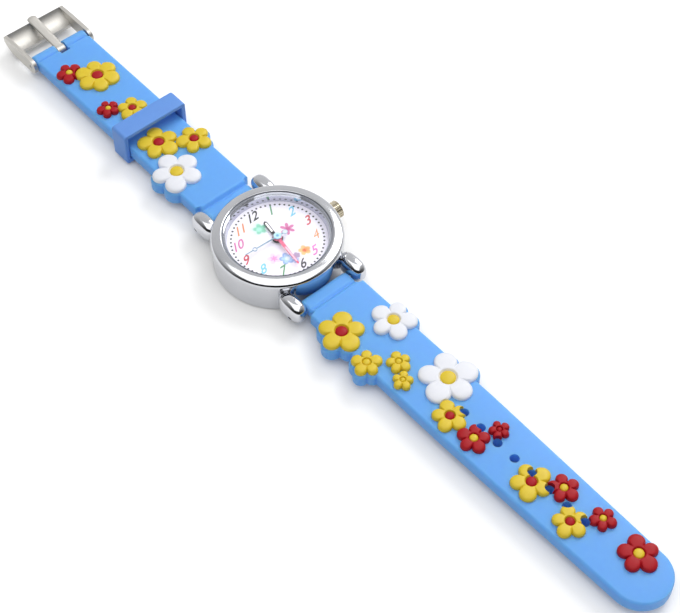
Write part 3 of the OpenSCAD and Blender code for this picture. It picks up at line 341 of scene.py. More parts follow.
def reckon(tree, operation, *feeds):
    """Math node: each feed is a number for its socket, or an output that is linked to it."""
    node = tree.nodes.new("ShaderNodeMath")
    node.operation = operation
    for socket, feed in zip(node.inputs, feeds):
        if isinstance(feed, (int, float)):
            socket.default_value = feed
        else:
            tree.links.new(feed, socket)
    return node.outputs[0]


def print_mask_group():
    """Soft printed flower: a point counts as inside where its distance from the centre is less
    than the radius times (waist + (1 - waist) |cos(petals / 2 * angle)|), with a blurred edge."""
    group = bpy.data.node_groups.new("printed_flower", "ShaderNodeTree")
    name_sockets(group, "INPUT", Centre="Vector", Radius="Float", Waist="Float", Half_Petals="Float",
                 Blur="Float", Strength="Float")
    name_sockets(group, "OUTPUT", Mask="Float")
    nodes, link = group.nodes, group.links.new
    given, out = nodes.new("NodeGroupInput"), nodes.new("NodeGroupOutput")
    place = nodes.new("ShaderNodeTexCoord")
    away = nodes.new("ShaderNodeVectorMath")
    away.operation = "SUBTRACT"
    link(place.outputs["Object"], away.inputs[0])
    link(given.outputs["Centre"], away.inputs[1])
    parts = nodes.new("ShaderNodeSeparateXYZ")
    link(away.outputs[0], parts.inputs[0])
    x, y = parts.outputs["X"], parts.outputs["Y"]
    square = reckon(group, "ADD", reckon(group, "MULTIPLY", x, x), reckon(group, "MULTIPLY", y, y))
    distance = reckon(group, "SQRT", square)
    angle = reckon(group, "MULTIPLY", reckon(group, "ARCTAN2", y, x), given.outputs["Half Petals"])
    lobes = reckon(group, "ABSOLUTE", reckon(group, "COSINE", angle))
    waist = given.outputs["Waist"]
    swing = reckon(group, "MULTIPLY_ADD", lobes, reckon(group, "SUBTRACT", 1.0, waist), waist)
    reach = reckon(group, "MULTIPLY", given.outputs["Radius"], swing)
    inside = reckon(group, "SUBTRACT", reach, distance)
    fade = nodes.new("ShaderNodeMapRange")
    fade.interpolation_type = "SMOOTHSTEP"
    set_inputs(fade, From_Min=-1.0, From_Max=1.0)
    link(reckon(group, "DIVIDE", inside, given.outputs["Blur"]), fade.inputs["Value"])
    mask = reckon(group, "MULTIPLY", fade.outputs["Result"], given.outputs["Strength"])
    link(mask, out.inputs["Mask"])
    return group


printed_flower = print_mask_group()


def print_on(material, prints, height):
    """Lays soft prints over a finish's colour, each given in millimetres as its place, radius,
    waist, petals, blur, strength and screen colour."""
    nodes, link = material.node_tree.nodes, material.node_tree.links.new
    colour = nodes["grain"].outputs["Colour"]
    for (x, y), radius, waist, petals, blur, strength, ink in prints:
        mask = nodes.new("ShaderNodeGroup")
        mask.node_tree = printed_flower
        set_inputs(mask, Centre=(x / MM, y / MM, height / MM), Radius=radius / MM, Waist=waist,
                   Half_Petals=petals / 2, Blur=blur / MM, Strength=strength)
        over = nodes.new("ShaderNodeMix")
        over.data_type = "RGBA"
        over.inputs["B"].default_value = screen(*ink)
        link(mask.outputs["Mask"], over.inputs["Factor"])
        link(colour, over.inputs["A"])
        colour = over.outputs["Result"]
    link(colour, nodes["Principled BSDF"].inputs["Base Color"])


dial_white = finish("printed_dial", (233, 230, 242), (227, 223, 238), SMUDGE, 0.34, 0.46, 0.06)
print_on(dial_white, [
    ((-1.3, 4.8), 1.9, 0.7, 5, 0.9, 0.3, (150, 220, 200)),
    ((-0.88, 4.5), 1.45, 0.6, 5, 0.35, 0.8, (84, 188, 150)),
    ((-1.15, 4.5), 0.55, 1.0, 5, 0.3, 0.7, (170, 232, 214)),
    ((3.33, 0.94), 1.6, 0.34, 6, 0.16, 0.9, (200, 92, 152)),
    ((3.4, 0.9), 0.5, 1.0, 6, 0.25, 0.8, (184, 60, 130)),
    ((2.36, -5.6), 1.35, 0.66, 5, 0.25, 0.9, (248, 178, 96)),
    ((2.75, -5.75), 0.75, 0.8, 5, 0.35, 0.7, (246, 136, 72)),
    ((2.3, -5.6), 0.4, 1.0, 5, 0.2, 0.9, (212, 84, 44)),
    ((-3.66, -3.32), 1.5, 0.6, 5, 0.35, 0.7, (244, 190, 230)),
    ((-3.66, -3.32), 0.8, 0.3, 6, 0.22, 0.8, (226, 120, 184)),
    ((-1.75, -4.97), 1.55, 0.62, 5, 0.2, 0.9, (112, 150, 220)),
    ((-1.65, -5.0), 1.2, 0.62, 5, 0.25, 0.9, (172, 208, 246)),
    ((-1.6, -5.0), 0.5, 1.0, 5, 0.2, 0.9, (226, 240, 253)),
    ((0.29, -5.57), 0.8, 0.8, 5, 0.2, 0.85, (146, 116, 160)),
    ((-0.6, -6.5), 0.75, 0.7, 5, 0.2, 0.8, (128, 156, 214)),
], dial_top)
dress(dial_white, "dial")


def disc_skin(x, y, low, high, radius, sides):
    """Drum: two circles of the same radius, one above the other."""
    turn = full_turn(sides)
    return loft(x + radius * np.cos(turn), y + radius * np.sin(turn), np.array([[low], [high]]))


INK_T, INK_SHADE = 0.012, (0.82, 0.82, 0.82, 1)
NUMBER_SIZE, NUMBER_SLANT, NUMBER_BOLD = 3.0, 0.58, 0.04
NUMBER_SPACING, NUMBER_STEPS, UNTHICKENED = 0.92, 4, "4"
NUMBER_AT = 7.95
DOT_AT, DOT_R, DOT_SIDES = 9.4, 0.22, 14


def points_of(mesh):
    """All points of a mesh, as rows of three."""
    points = np.empty(len(mesh.vertices) * 3)
    mesh.vertices.foreach_get("co", points)
    return points.reshape(-1, 3)


def number_skin(text, x, y):
    """Slanted number from the built-in font, with thickened strokes apart from one number, raised by
    the ink's thickness, about its own middle."""
    curve = bpy.data.curves.new("number", "FONT")
    curve.body, curve.size, curve.shear = text, NUMBER_SIZE, NUMBER_SLANT
    curve.extrude, curve.resolution_u, curve.space_character = INK_T, NUMBER_STEPS, NUMBER_SPACING
    curve.offset = 0.0 if text == UNTHICKENED else NUMBER_BOLD
    carrier = bpy.data.objects.new("number", curve)
    mesh = bpy.data.meshes.new_from_object(carrier)
    points = points_of(mesh)
    middle = (points.min(0) + points.max(0)) / 2
    faces = [list(face.vertices) for face in mesh.polygons]
    bpy.data.objects.remove(carrier)
    bpy.data.curves.remove(curve)
    bpy.data.meshes.remove(mesh)
    return points - middle + [x, y, dial_top + INK_T], faces


NUMBER_INKS = [
    (30, 28, 34), (88, 150, 110), (112, 194, 226), (206, 74, 82), (228, 158, 96), (224, 120, 198),
    (62, 58, 66), (84, 152, 100), (114, 198, 228), (204, 68, 82), (210, 108, 168), (224, 142, 84),
]
DOT_INK = screen(30, 30, 36)
skins = []
inks = []
for hour, ink in enumerate(NUMBER_INKS):
    turn = math.radians(90 - 30 * hour)
    skins.append(number_skin(str(hour or 12), NUMBER_AT * math.cos(turn), NUMBER_AT * math.sin(turn)))
    inks.append(screen(*ink))
for minute in range(60):
    turn = math.radians(6 * minute)
    x, y = DOT_AT * math.cos(turn), DOT_AT * math.sin(turn)
    skins.append(disc_skin(x, y, dial_top - INK_T, dial_top + INK_T, DOT_R, DOT_SIDES))
    inks.append(DOT_INK)
raised_ink = finish("raised_ink", (255, 255, 255), (255, 255, 255), EVEN, 0.3, 0.45, 0.1)
nodes, link = raised_ink.node_tree.nodes, raised_ink.node_tree.links.new
set_inputs(nodes["grain"], Dark=INK_SHADE)
shade = nodes.new("ShaderNodeMix")
shade.data_type, shade.blend_type = "RGBA", "MULTIPLY"
shade.inputs["Factor"].default_value = 1.0
own = nodes.new("ShaderNodeVertexColor")
own.layer_name = "ink"
link(own.outputs["Color"], shade.inputs["A"])
link(nodes["grain"].outputs["Colour"], shade.inputs["B"])
link(shade.outputs["Result"], nodes["Principled BSDF"].inputs["Base Color"])
dial_print = piece_of("dial_print", skins, raised_ink, FINE_BEND, inks)
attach(dial_print, "case")

# Sloping ring round the dial
# A bright turned metal ring whose steep inner wall mirrors the minute dots. It rises from the dial
# almost to the crystal and holds the dial down.
RING_IN_R, RING_TOP_R, RING_OUT_R, RING_GAP = 10.25, 10.45, 10.86, 0.06
crystal_low = corners("crystal")[0][2]
ring_top = crystal_low - RING_GAP
ring_metal = finish("bright_ring", (200, 203, 214), (186, 189, 202), SMUDGE, 0.04, 0.09, 0.02,
                    POLISH_DENT, Metallic=1.0)
ring_profile = [(RING_IN_R, dial_top), (RING_OUT_R, dial_top), (RING_OUT_R, ring_top),
                (RING_TOP_R, ring_top)]
ring = piece_of("sloping_ring", [turned_skin(ring_profile)], ring_metal, FINE_BEND)
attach(ring, "case")
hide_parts("dial_ring")

# Hands
# Three stamped strips on their pipes: a black hour hand with a white filling, a pink minute hand
# with a paler one, and a thin blue-grey seconds hand with a ring, a counterweight and a cap.
LACQUER, FILLING = (EVEN, 0.22, 0.34, 0.05), (EVEN, 0.4, 0.5, 0.05)
hand_black = finish("black_lacquer", (44, 46, 53), (32, 33, 39), *LACQUER)
hand_pink = finish("pink_lacquer", (236, 112, 146), (224, 92, 126), *LACQUER)
hand_blue = finish("blue_grey_lacquer", (134, 166, 186), (112, 146, 168), *LACQUER)
white_fill = finish("white_filling", (250, 250, 250), (238, 238, 240), *FILLING)
pale_fill = finish("pale_pink_filling", (252, 206, 220), (246, 188, 206), *FILLING)
CLOCK_HOUR, CLOCK_MINUTE, CLOCK_SECOND = 9, 188, 273
WEIGHT_AT = -1.9
# Fillings of the hour and the minute hand: where they start and end, and the half width at each
HOUR_FILL = (2.1, 4.75, 0.2, 0.2)
MINUTE_FILL = (3.0, 7.3, 0.17, 0.12)
seconds_turn = math.radians(90 - CLOCK_SECOND)
weight_place = (WEIGHT_AT * math.cos(seconds_turn), WEIGHT_AT * math.sin(seconds_turn))
print_on(hand_blue, [
    ((0, 0), 0.95, 1.0, 5, 0.1, 0.95, (178, 218, 238)),
    ((0, 0), 0.34, 0.8, 6, 0.1, 0.9, (88, 156, 196)),
    (weight_place, 0.48, 1.0, 5, 0.12, 0.9, (206, 218, 242)),
], corners("second_hand")[1][2])
dress(hand_black, "hour_hand")
dress(hand_pink, "minute_hand")
dress(hand_blue, "second_hand")


def strip_skin(clock, start, end, w_in, w_out, z):
    """Flat strip along a clock angle: four corners at the foot, and the same four raised."""
    turn = math.radians(90 - clock)
    along = np.array([math.cos(turn), math.sin(turn)])
    across = np.array([-math.sin(turn), math.cos(turn)])
    foot = np.array([along * start - across * w_in, along * start + across * w_in,
                     along * end + across * w_out, along * end - across * w_out])
    return loft(foot[:, 0], foot[:, 1], np.array([[z - INK_T], [z + INK_T]]))


hour_top = corners("hour_hand")[1][2]
hour_fill = piece_of("hour_hand_filling", [strip_skin(CLOCK_HOUR, *HOUR_FILL, hour_top)], white_fill)
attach(hour_fill, "hours")
minute_top = corners("minute_hand")[1][2]
minute_strip = strip_skin(CLOCK_MINUTE, *MINUTE_FILL, minute_top)
minute_fill = piece_of("minute_hand_filling", [minute_strip], pale_fill)
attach(minute_fill, "minutes")

# Bezel, crystal and seal
# A polished, chrome-plated ring pressed on the case: a shallow dome falls from its crest to a rolled
# edge, and the upright side ends in a fine step. A flat mineral glass sits in it on a clear seal.
BEZEL_R, BEZEL_IN_R, BEZEL_ROLL = 13.5, 11.28, 0.95
CREST_R, INNER_DROP = 11.52, 0.06
SLOPE_IN, SLOPE_OUT = math.radians(5), math.radians(21)
BEZEL_FOOT, STEP_IN, STEP_H = 6.3, 0.07, 0.12
DOME_STEPS, ROLL_STEPS = 12, 16
bezel_high = corners("bezel")[1][2]
roll = np.linspace(np.pi / 2 - SLOPE_OUT, 0, ROLL_STEPS)
roll_r = BEZEL_R - BEZEL_ROLL
dome_r = np.linspace(CREST_R, roll_r + BEZEL_ROLL * math.cos(roll[0]), DOME_STEPS)
dome_fall = np.tan(np.linspace(SLOPE_IN, SLOPE_OUT, DOME_STEPS))
dome_drop = np.cumsum(np.diff(dome_r) * (dome_fall[1:] + dome_fall[:-1]) / 2)
dome_z = bezel_high - np.concatenate([[0], dome_drop])
roll_z = dome_z[-1] - BEZEL_ROLL * math.sin(roll[0])
edge_r = roll_r + BEZEL_ROLL * np.cos(roll[1:])
edge_z = roll_z + BEZEL_ROLL * np.sin(roll[1:])
bezel_profile = [
    (BORE_R, CASE_TOP), (BORE_R, ring_top), (BEZEL_IN_R, ring_top), (BEZEL_IN_R, bezel_high - INNER_DROP),
    *zip(dome_r, dome_z), *zip(edge_r, edge_z),
    (BEZEL_R, BEZEL_FOOT), (BEZEL_R - STEP_IN, BEZEL_FOOT - STEP_IN),
    (BEZEL_R - STEP_IN, BEZEL_FOOT - STEP_H), (CASE_R, BEZEL_FOOT - 2 * STEP_H), (CASE_R, CASE_TOP)]
bezel = piece_of("bezel_ring", [turned_skin(bezel_profile)], chrome, FINE_BEND)
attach(bezel, "case")
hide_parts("bezel")
clear_seal = finish("clear_nylon", (150, 154, 164), (126, 130, 140), EVEN, 0.3, 0.42, 0.05)
dress(clear_seal, "crystal_gasket")
GLASS_TINT, GLASS_IOR = (0.985, 0.99, 0.99, 1), 1.45
glass = bpy.data.materials.new("mineral_glass")
glass.use_nodes = True
nodes, link = glass.node_tree.nodes, glass.node_tree.links.new
pane = nodes["Principled BSDF"]
set_inputs(pane, Base_Color=GLASS_TINT, Roughness=0.0, IOR=GLASS_IOR, Transmission_Weight=1.0)
open_way = nodes.new("ShaderNodeBsdfTransparent")
path = nodes.new("ShaderNodeLightPath")
through = nodes.new("ShaderNodeMixShader")
link(path.outputs["Is Shadow Ray"], through.inputs["Fac"])
link(pane.outputs[0], through.inputs[1])
link(open_way.outputs[0], through.inputs[2])
link(through.outputs[0], nodes["Material Output"].inputs["Surface"])
dress(glass, "crystal")

# Crown
# A fluted, domed knob turned from brass and plated, a little warmer than the case. It slides over
# the tube in the case wall and is screwed to the stem.
crown_plate = finish("warm_plate", (214, 206, 186), (192, 182, 158), SMUDGE, 0.1, 0.2, 0.1,
                     POLISH_DENT, Metallic=1.0)
dress(crown_plate, "crown")

# Strap halves
# Moulded light blue silicone, 3.1 mm thick with soft edges. Each half has a thinner end with a
# barrel on its spring bar; flowers that overhang the edge stand on pads of the same silicone.
STRAP_TOP = corners("tip_strap")[1][2]
STRAP_T, STRAP_HALF = 3.1, 6.9
STRAP_LOW = STRAP_TOP - STRAP_T
TIP_LEN, TIP_HALF = 90.0, 6.05
BUCKLE_LEN = 61.2
BARREL_R, ROOT_LEN, ROOT_IN, WIDE_FROM = 1.5, 3.0, 1.05, 3.3
ROOT_TOP, RISE_LEN, GROOVE_DEPTH, GROOVE_W = 4.2, 0.9, 0.28, 0.4
EDGE, EDGE_STEPS, EDGE_MOST, CORNER = 0.6, 6, 0.98, 0.3
MOULDED = (900, 900, 900)
SOFT_DENT = 0.00004
silicone_blue = finish(
    "blue_silicone", (110, 178, 252), (104, 171, 248), MOULDED, 0.42, 0.54, 0.12, SOFT_DENT,
    Subsurface_Weight=0.6, Subsurface_Radius=(0.5, 0.7, 1.0), Subsurface_Scale=0.003, Specular_IOR_Level=0.4)


def four_corners(steps):
    """Cosines and sines of four quarter circles in turn, each in that many steps, and across and up
    the signs of the corner of a rectangle that each quarter rounds."""
    turn = np.radians(np.concatenate([np.linspace(q, q + 90, steps) for q in (0, 90, 180, 270)]))
    across, up = np.repeat([1, -1, -1, 1], steps), np.repeat([1, 1, -1, -1], steps)
    return np.cos(turn), np.sin(turn), across, up


def band_skin(along, half, low, top):
    """Strap body: at each distance along it, a rectangle of its half width and its lower and upper
    heights, with corners rounded by quarter circles of the edge radius."""
    ux, uz, sx, sz = four_corners(EDGE_STEPS)
    edge = np.minimum(EDGE, np.minimum(half, (top - low) / 2) * EDGE_MOST)[:, None]
    x = sx * (half[:, None] - edge) + edge * ux
    z = low[:, None] + edge + (sz > 0) * ((top - low)[:, None] - 2 * edge) + edge * uz
    return loft(x, along[:, None], z)


def root_heights(d):
    """Lower and upper height near a spring bar: the barrel's circle about the bar, then a level root,
    a soft groove in the shape of a bell, and a smooth rise to the full strap."""
    round_half = np.sqrt(np.clip(BARREL_R ** 2 - d ** 2, 0, None))
    low = np.where(d < 0, BAR_Z - round_half, np.minimum(BAR_Z - round_half, STRAP_LOW))
    climb = ((d - ROOT_LEN + RISE_LEN) / RISE_LEN).clip(0, 1)
    climb = climb ** 2 * (3 - 2 * climb)
    groove = GROOVE_DEPTH * np.exp(-((d - ROOT_LEN + RISE_LEN) / GROOVE_W) ** 2)
    top = ROOT_TOP + (STRAP_TOP - ROOT_TOP) * climb - groove
    return low, np.where(d < 0, BAR_Z + round_half, top)


def root_inset(d):
    """How far the sides stand in: all the way at the root, then less by a square root up to full width."""
    return ROOT_IN * np.clip((WIDE_FROM - d) / CORNER, 0, 1) ** 0.5


PETAL_AT, PETAL_R, PETAL_VARY, PETAL_PHASE, CORE_R = 0.605, 0.37, 0.1, 2.3, 0.58
PAD_RIM, PAD_FLUSH, PAD_SIDES = 0.4, 0.002, 30


def petal_radii(radius, turn, petals):
    """Radius of each petal: a share of the flower's, a little larger or smaller from one petal to
    the next by a sine of its number and the flower's turn."""
    return radius * PETAL_R * (1 + PETAL_VARY * np.sin(PETAL_PHASE * np.arange(petals) + turn))


def lobe_outline(radius, turn, petals, grow, angle):
    """Distance of a flower's edge at each angle: the farthest of the petals' circles about points
    on a smaller circle, and of a round core that joins them, grown by a rim."""
    at = PETAL_AT * radius
    wide = petal_radii(radius, turn, petals) + grow
    off = angle[..., None] - np.radians(turn + 360 / petals * np.arange(petals))
    inside = wide ** 2 - (at * np.sin(off)) ** 2
    reach = np.where(inside >= 0, at * np.cos(off) + np.sqrt(np.clip(inside, 0, None)), 0)
    return np.maximum(reach.max(-1), CORE_R * radius + grow)


def pad_skin(x, y, radius, turn, petals):
    """Pad under an overhanging flower: the flower's outline with a rim, as high as the strap, with
    upper and lower edges rounded by quarter circles."""
    angle = full_turn(PAD_SIDES * petals)
    reach = lobe_outline(radius, turn, petals, PAD_RIM, angle)
    quarter = np.radians(np.linspace(0, 90, EDGE_STEPS))
    inset = EDGE * np.concatenate([1 - np.sin(quarter), 1 - np.cos(quarter)])
    height = np.concatenate([STRAP_LOW + PAD_FLUSH + EDGE * (1 - np.cos(quarter)),
                             STRAP_TOP - PAD_FLUSH - EDGE * (1 - np.sin(quarter))])
    out = reach[None] - inset[:, None]
    return loft(x + out * np.cos(angle), y + out * np.sin(angle), height[:, None])


# Flowers on the two halves: colour, side to side as a share of the half width, along as a share of
# the half's length, radius as a share of the width, turn, colour of the middle, petals
TIP_FLOWERS = [
    ("yellow", -0.75, 0.117, 0.355, -26, "red", 5), ("white", 0.62, 0.167, 0.344, 31, "yellow", 5),
    ("yellow", -0.93, 0.214, 0.228, -23, "yellow", 5), ("yellow", -0.25, 0.257, 0.188, -7, "yellow", 5),
    ("yellow", -0.58, 0.298, 0.159, -32, "yellow", 5), ("white", 0.42, 0.355, 0.442, -18, "yellow", 5),
    ("yellow", -0.41, 0.428, 0.264, -13, "red", 5), ("red", -0.42, 0.5, 0.239, -34, "yellow", 5),
    ("red", 0.28, 0.52, 0.156, -5, "red", 5), ("yellow", -0.22, 0.651, 0.297, -5, "red", 5),
    ("red", 0.29, 0.704, 0.228, -15, "yellow", 5), ("yellow", -0.32, 0.766, 0.254, -19, "red", 5),
    ("red", 0.39, 0.804, 0.192, 4, "yellow", 5), ("red", 0.33, 0.904, 0.29, -20, "yellow", 5),
]
BUCKLE_FLOWERS = [
    ("red", -0.55, 0.848, 0.217, 14, "yellow", 5), ("yellow", 0.06, 0.773, 0.355, 9, "red", 6),
    ("red", -0.55, 0.613, 0.181, 9, "yellow", 5), ("yellow", 0.03, 0.56, 0.246, -12, "red", 5),
    ("yellow", -0.23, 0.368, 0.333, -2, "red", 5), ("yellow", 0.68, 0.301, 0.283, 10, "red", 5),
    ("white", -0.55, 0.219, 0.4, 13, "yellow", 5),
]
TIP_PADS = (0, 1, 2, 5)
BUCKLE_PADS = (5, 6)


def placed(table, side, length):
    """Flowers in millimetres: colour, x, y, radius, turn, colour of the middle, petals."""
    return [(colour, x * STRAP_HALF, side * (BAR_Y + y * length), r * 2 * STRAP_HALF, turn, middle, petals)
            for colour, x, y, r, turn, middle, petals in table]


def add_pads(band, flowers, picks):
    """Joins the pads of the picked flowers to the band, one after the other."""
    for _, x, y, radius, turn, _, petals in [flowers[i] for i in picks]:
        carve(band, [pad_skin(x, y, radius, turn, petals)], "UNION")


tip_flowers = placed(TIP_FLOWERS, -1, TIP_LEN)
buckle_flowers = placed(BUCKLE_FLOWERS, 1, BUCKLE_LEN)
HOLE_R, HOLE_PITCH, HOLE_FROM_TIP, HOLE_COUNT, HOLE_SIDES = 0.95, 4.45, 19.4, 8, 32
hole_places = [-(BAR_Y + TIP_LEN - HOLE_FROM_TIP - HOLE_PITCH * i) for i in range(HOLE_COUNT)]
hole_low, hole_high = STRAP_LOW - OVERRUN, STRAP_TOP + 2 * OVERRUN
hole_skins = [disc_skin(0, y, hole_low, hole_high, HOLE_R, HOLE_SIDES) for y in hole_places]

# The half with the holes: its sections stand closer together where the height or width changes.
BARREL_ROWS, ROOT_ROWS, CORNER_ROWS, TIP_ROWS, TIP_END_ROWS = 16, 36, 10, 160, 48
PAST_BAR, PAST_CORNER, SMALL_STEP, LEAST_SQUARE = 0.1, 0.4, 0.02, 1e-4
TAPER_FROM = 0.45 * TIP_LEN
round_at = TIP_LEN - TIP_HALF
root = np.concatenate([
    -BARREL_R * np.cos(np.linspace(0, np.pi / 2, BARREL_ROWS)),
    np.linspace(PAST_BAR, ROOT_LEN - SMALL_STEP, ROOT_ROWS),
    WIDE_FROM - CORNER * np.linspace(1, 0, CORNER_ROWS) ** 2])
d = np.concatenate([
    root, np.linspace(WIDE_FROM + PAST_CORNER, round_at, TIP_ROWS),
    round_at + TIP_HALF * np.sin(np.linspace(SMALL_STEP, np.pi / 2, TIP_END_ROWS))])
taper = ((d - TAPER_FROM) / (round_at - TAPER_FROM)).clip(0, 1)
half = STRAP_HALF - (STRAP_HALF - TIP_HALF) * taper - root_inset(d)
round_tip = np.sqrt(np.clip(TIP_HALF ** 2 - (d - round_at) ** 2, LEAST_SQUARE, None))
half = np.where(d > round_at, round_tip, half)
low, top = root_heights(d)
tip_band = piece_of("tip_strap_silicone", [band_skin(-(BAR_Y + d), half, low, top)], silicone_blue)
add_pads(tip_band, tip_flowers, TIP_PADS)
carve(tip_band, hole_skins)
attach(tip_band, "tip_strap")
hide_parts("tip_strap")

# The other half ends, towards the buckle, in a shallow groove and a barrel with a slot for the tongue.
END_R, GROOVE_TOP, ROLL = 1.7, 4.2, 0.3
END_Z = STRAP_TOP - END_R
end_at = BUCKLE_LEN - END_R
SLOT_HALF, SLOT_DEPTH, SLOT_LEN = 1.2, 2.6, 6
BUCKLE_ROWS, ROLL_ROWS, GROOVE_ROWS, END_ROWS = 120, 8, 24, 20
BEFORE_ROLL, ROLL_FROM, END_FROM = 0.35, 0.05, 0.06
d = np.concatenate([
    root, np.linspace(WIDE_FROM + PAST_CORNER, end_at - BEFORE_ROLL, BUCKLE_ROWS),
    end_at - ROLL + ROLL * np.sin(np.linspace(ROLL_FROM, np.pi / 2 - SMALL_STEP, ROLL_ROWS)),
    np.linspace(end_at + SMALL_STEP, BUCKLE_LEN, GROOVE_ROWS),
    BUCKLE_LEN + END_R * np.sin(np.linspace(END_FROM, np.pi / 2, END_ROWS))])
low, top = root_heights(d)
round_half = np.sqrt(np.clip(END_R ** 2 - (d - BUCKLE_LEN) ** 2, 0, None))
roll_off = np.sqrt(np.clip(ROLL ** 2 - (d - end_at + ROLL) ** 2, 0, None))
top = np.where(d > end_at - ROLL, STRAP_TOP - ROLL + roll_off, top)
top = np.where(d > end_at, np.maximum(GROOVE_TOP, END_Z + round_half), top)
top = np.where(d > BUCKLE_LEN, END_Z + round_half, top)
low = np.where(d > end_at, np.minimum(STRAP_LOW, END_Z - round_half), low)
low = np.where(d > BUCKLE_LEN, END_Z - round_half, low)
half = STRAP_HALF - root_inset(d)
buckle_band = piece_of("buckle_strap_silicone", [band_skin(BAR_Y + d, half, low, top)], silicone_blue)
add_pads(buckle_band, buckle_flowers, BUCKLE_PADS)
slot_y = BAR_Y + BUCKLE_LEN - SLOT_DEPTH
slot_across = SLOT_HALF * np.array([-1, 1, 1, -1])
slot_along = slot_y + SLOT_LEN * np.array([0, 0, 1, 1])
carve(buckle_band, [loft(slot_across, slot_along, np.array([[0], [2 * STRAP_TOP]]))])
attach(buckle_band, "buckle_strap")
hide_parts("buckle_strap")

# Flowers
# Flat, plump flowers in yellow, red and white silicone, shot into the strap in the same mould.
# Petals meet in creases round a button of another colour; strap holes go through them.
FLOWER_H, FOOT, LEAST_RISE = 1.1, 0.2, 0.05
BUTTON_SHARE, BUTTON_FOOT = 0.25, 0.66
BUTTON_SIDES, BUTTON_ROWS, BUTTON_TOP = 40, 12, 2
WELL_SHARE, WELL_DEPTH, WELL_SHARP = 0.285, 0.5, 40
WELL_RINGS = np.array([0.3, 0.8, 0.9, 0.96, 1, 1.04, 1.1, 1.2])
CREASE_W, CREASE_DEPTH, CREASE_FROM, CREASE_FADE = 0.13, 0.34, 0.36, 0.2
RIM_POWER, RIM_LOW, SWELL, OVER_RIM = 8, 0.35, 0.08, 0.05
PETAL_SIDES, PETAL_BEND = 48, 55
FLAT_FROM, FLAT_TO, FLAT_ROWS, RIM_FROM, RIM_ROWS = 0.08, 0.6, 11, 0.1, 13
# Silicone of the flowers: light and dark tint, how far light of each colour spreads in it, and gloss
FLOWER_TINTS = {
    "yellow": ((231, 205, 46), (220, 190, 34), (1, 0.7, 0.2), 0.5),
    "red": ((180, 20, 32), (164, 14, 26), (1, 0.2, 0.2), 0.25),
    "white": ((242, 244, 250), (234, 236, 245), (1, 1, 1), 0.5),
}
silicone = {}
for colour, (light, dark, spread, gloss) in FLOWER_TINTS.items():
    silicone[colour] = finish(
        colour + "_silicone", light, dark, MOULDED, 0.4, 0.52, 0.15, SOFT_DENT,
        Subsurface_Weight=0.08, Subsurface_Radius=spread, Subsurface_Scale=0.0006, Specular_IOR_Level=gloss)


def petal_skin(x, y, radius, turn, petals, over):
    """Petals of one flower on polar rows: first rings about the middle, then shares of the way to the
    outline. The top is level, rolls over at the rim as the root of one less a high power of the share
    of the reach, swells a little over each petal, and sinks in creases between petals and in a well
    round the button. The skin closes below the strap, and stays there under a flower in over."""
    angle = np.radians(turn) + full_turn(PETAL_SIDES * petals)
    reach = lobe_outline(radius, turn, petals, 0, angle)
    well_r = WELL_SHARE * radius
    inner = well_r * WELL_RINGS[:, None]
    rolled = FLAT_TO + (1 - FLAT_TO) * np.sin(np.linspace(RIM_FROM, 1, RIM_ROWS) * np.pi / 2)
    part = np.concatenate([np.linspace(FLAT_FROM, FLAT_TO, FLAT_ROWS), rolled])
    away = np.concatenate([inner + 0 * angle, inner[-1] + part[:, None] * (reach - inner[-1])])
    px, py = away * np.cos(angle), away * np.sin(angle)
    step = 2 * np.pi / petals
    from_crease = (angle - np.radians(turn)) % step - step / 2
    beside = away * np.abs(np.sin(from_crease))
    lobe = np.radians(turn) + step * np.arange(petals)
    mx, my = PETAL_AT * radius * np.cos(lobe), PETAL_AT * radius * np.sin(lobe)
    from_middle = np.hypot(px[..., None] - mx, py[..., None] - my) / (PETAL_R * radius)
    swell = (1 - from_middle ** 2).clip(0, 1).max(-1)
    rim = np.sqrt(1 - (away / reach).clip(0, 1) ** RIM_POWER)
    crease = np.exp(-(beside / CREASE_W) ** 2) * ((away / radius - CREASE_FROM) / CREASE_FADE).clip(0, 1)
    well = 1 / (1 + np.exp((away / well_r - 1) * WELL_SHARP))
    plump = FLOWER_H * (RIM_LOW + (1 - RIM_LOW) * rim) * (1 - SWELL + SWELL * swell)
    rise = plump - CREASE_DEPTH * crease - WELL_DEPTH * well
    height = STRAP_TOP + np.maximum(rise, LEAST_RISE)
    for _, ox, oy, o_radius, o_turn, _, o_petals in over:
        qx, qy = px + x - ox, py + y - oy
        edge = lobe_outline(o_radius, o_turn, o_petals, OVER_RIM, np.arctan2(qy, qx))
        height = np.where(np.hypot(qx, qy) < edge, STRAP_TOP - FOOT / 2, height)
    px, py = np.vstack([px, px[-1:]]), np.vstack([py, py[-1:]])
    height = np.vstack([height, 0 * reach + STRAP_TOP - FOOT])
    return loft(px + x, py + y, height)


def button_skin(x, y, radius):
    """Middle of a flower: a full dome, a quarter round on a straight foot."""
    turn = full_turn(BUTTON_SIDES)
    lift = np.radians(np.linspace(90, BUTTON_TOP, BUTTON_ROWS))
    wide = np.concatenate([[radius], radius * np.sin(lift)])
    high = STRAP_TOP + np.concatenate([[-FOOT], BUTTON_FOOT + (FLOWER_H - BUTTON_FOOT) * np.cos(lift)])
    return loft(x + wide[:, None] * np.cos(turn), y + wide[:, None] * np.sin(turn), high[:, None])


def moulded(skin, x, y, radius, material, holes):
    """One flower part as its own object, with the strap holes that reach it cut out."""
    part = piece_of("flower_part", [skin], material, PETAL_BEND)
    near = [hole for hole, at in zip(hole_skins, hole_places) if math.hypot(x, y - at) < radius + HOLE_R]
    if holes and near:
        carve(part, near, crease=PETAL_BEND)
    return part


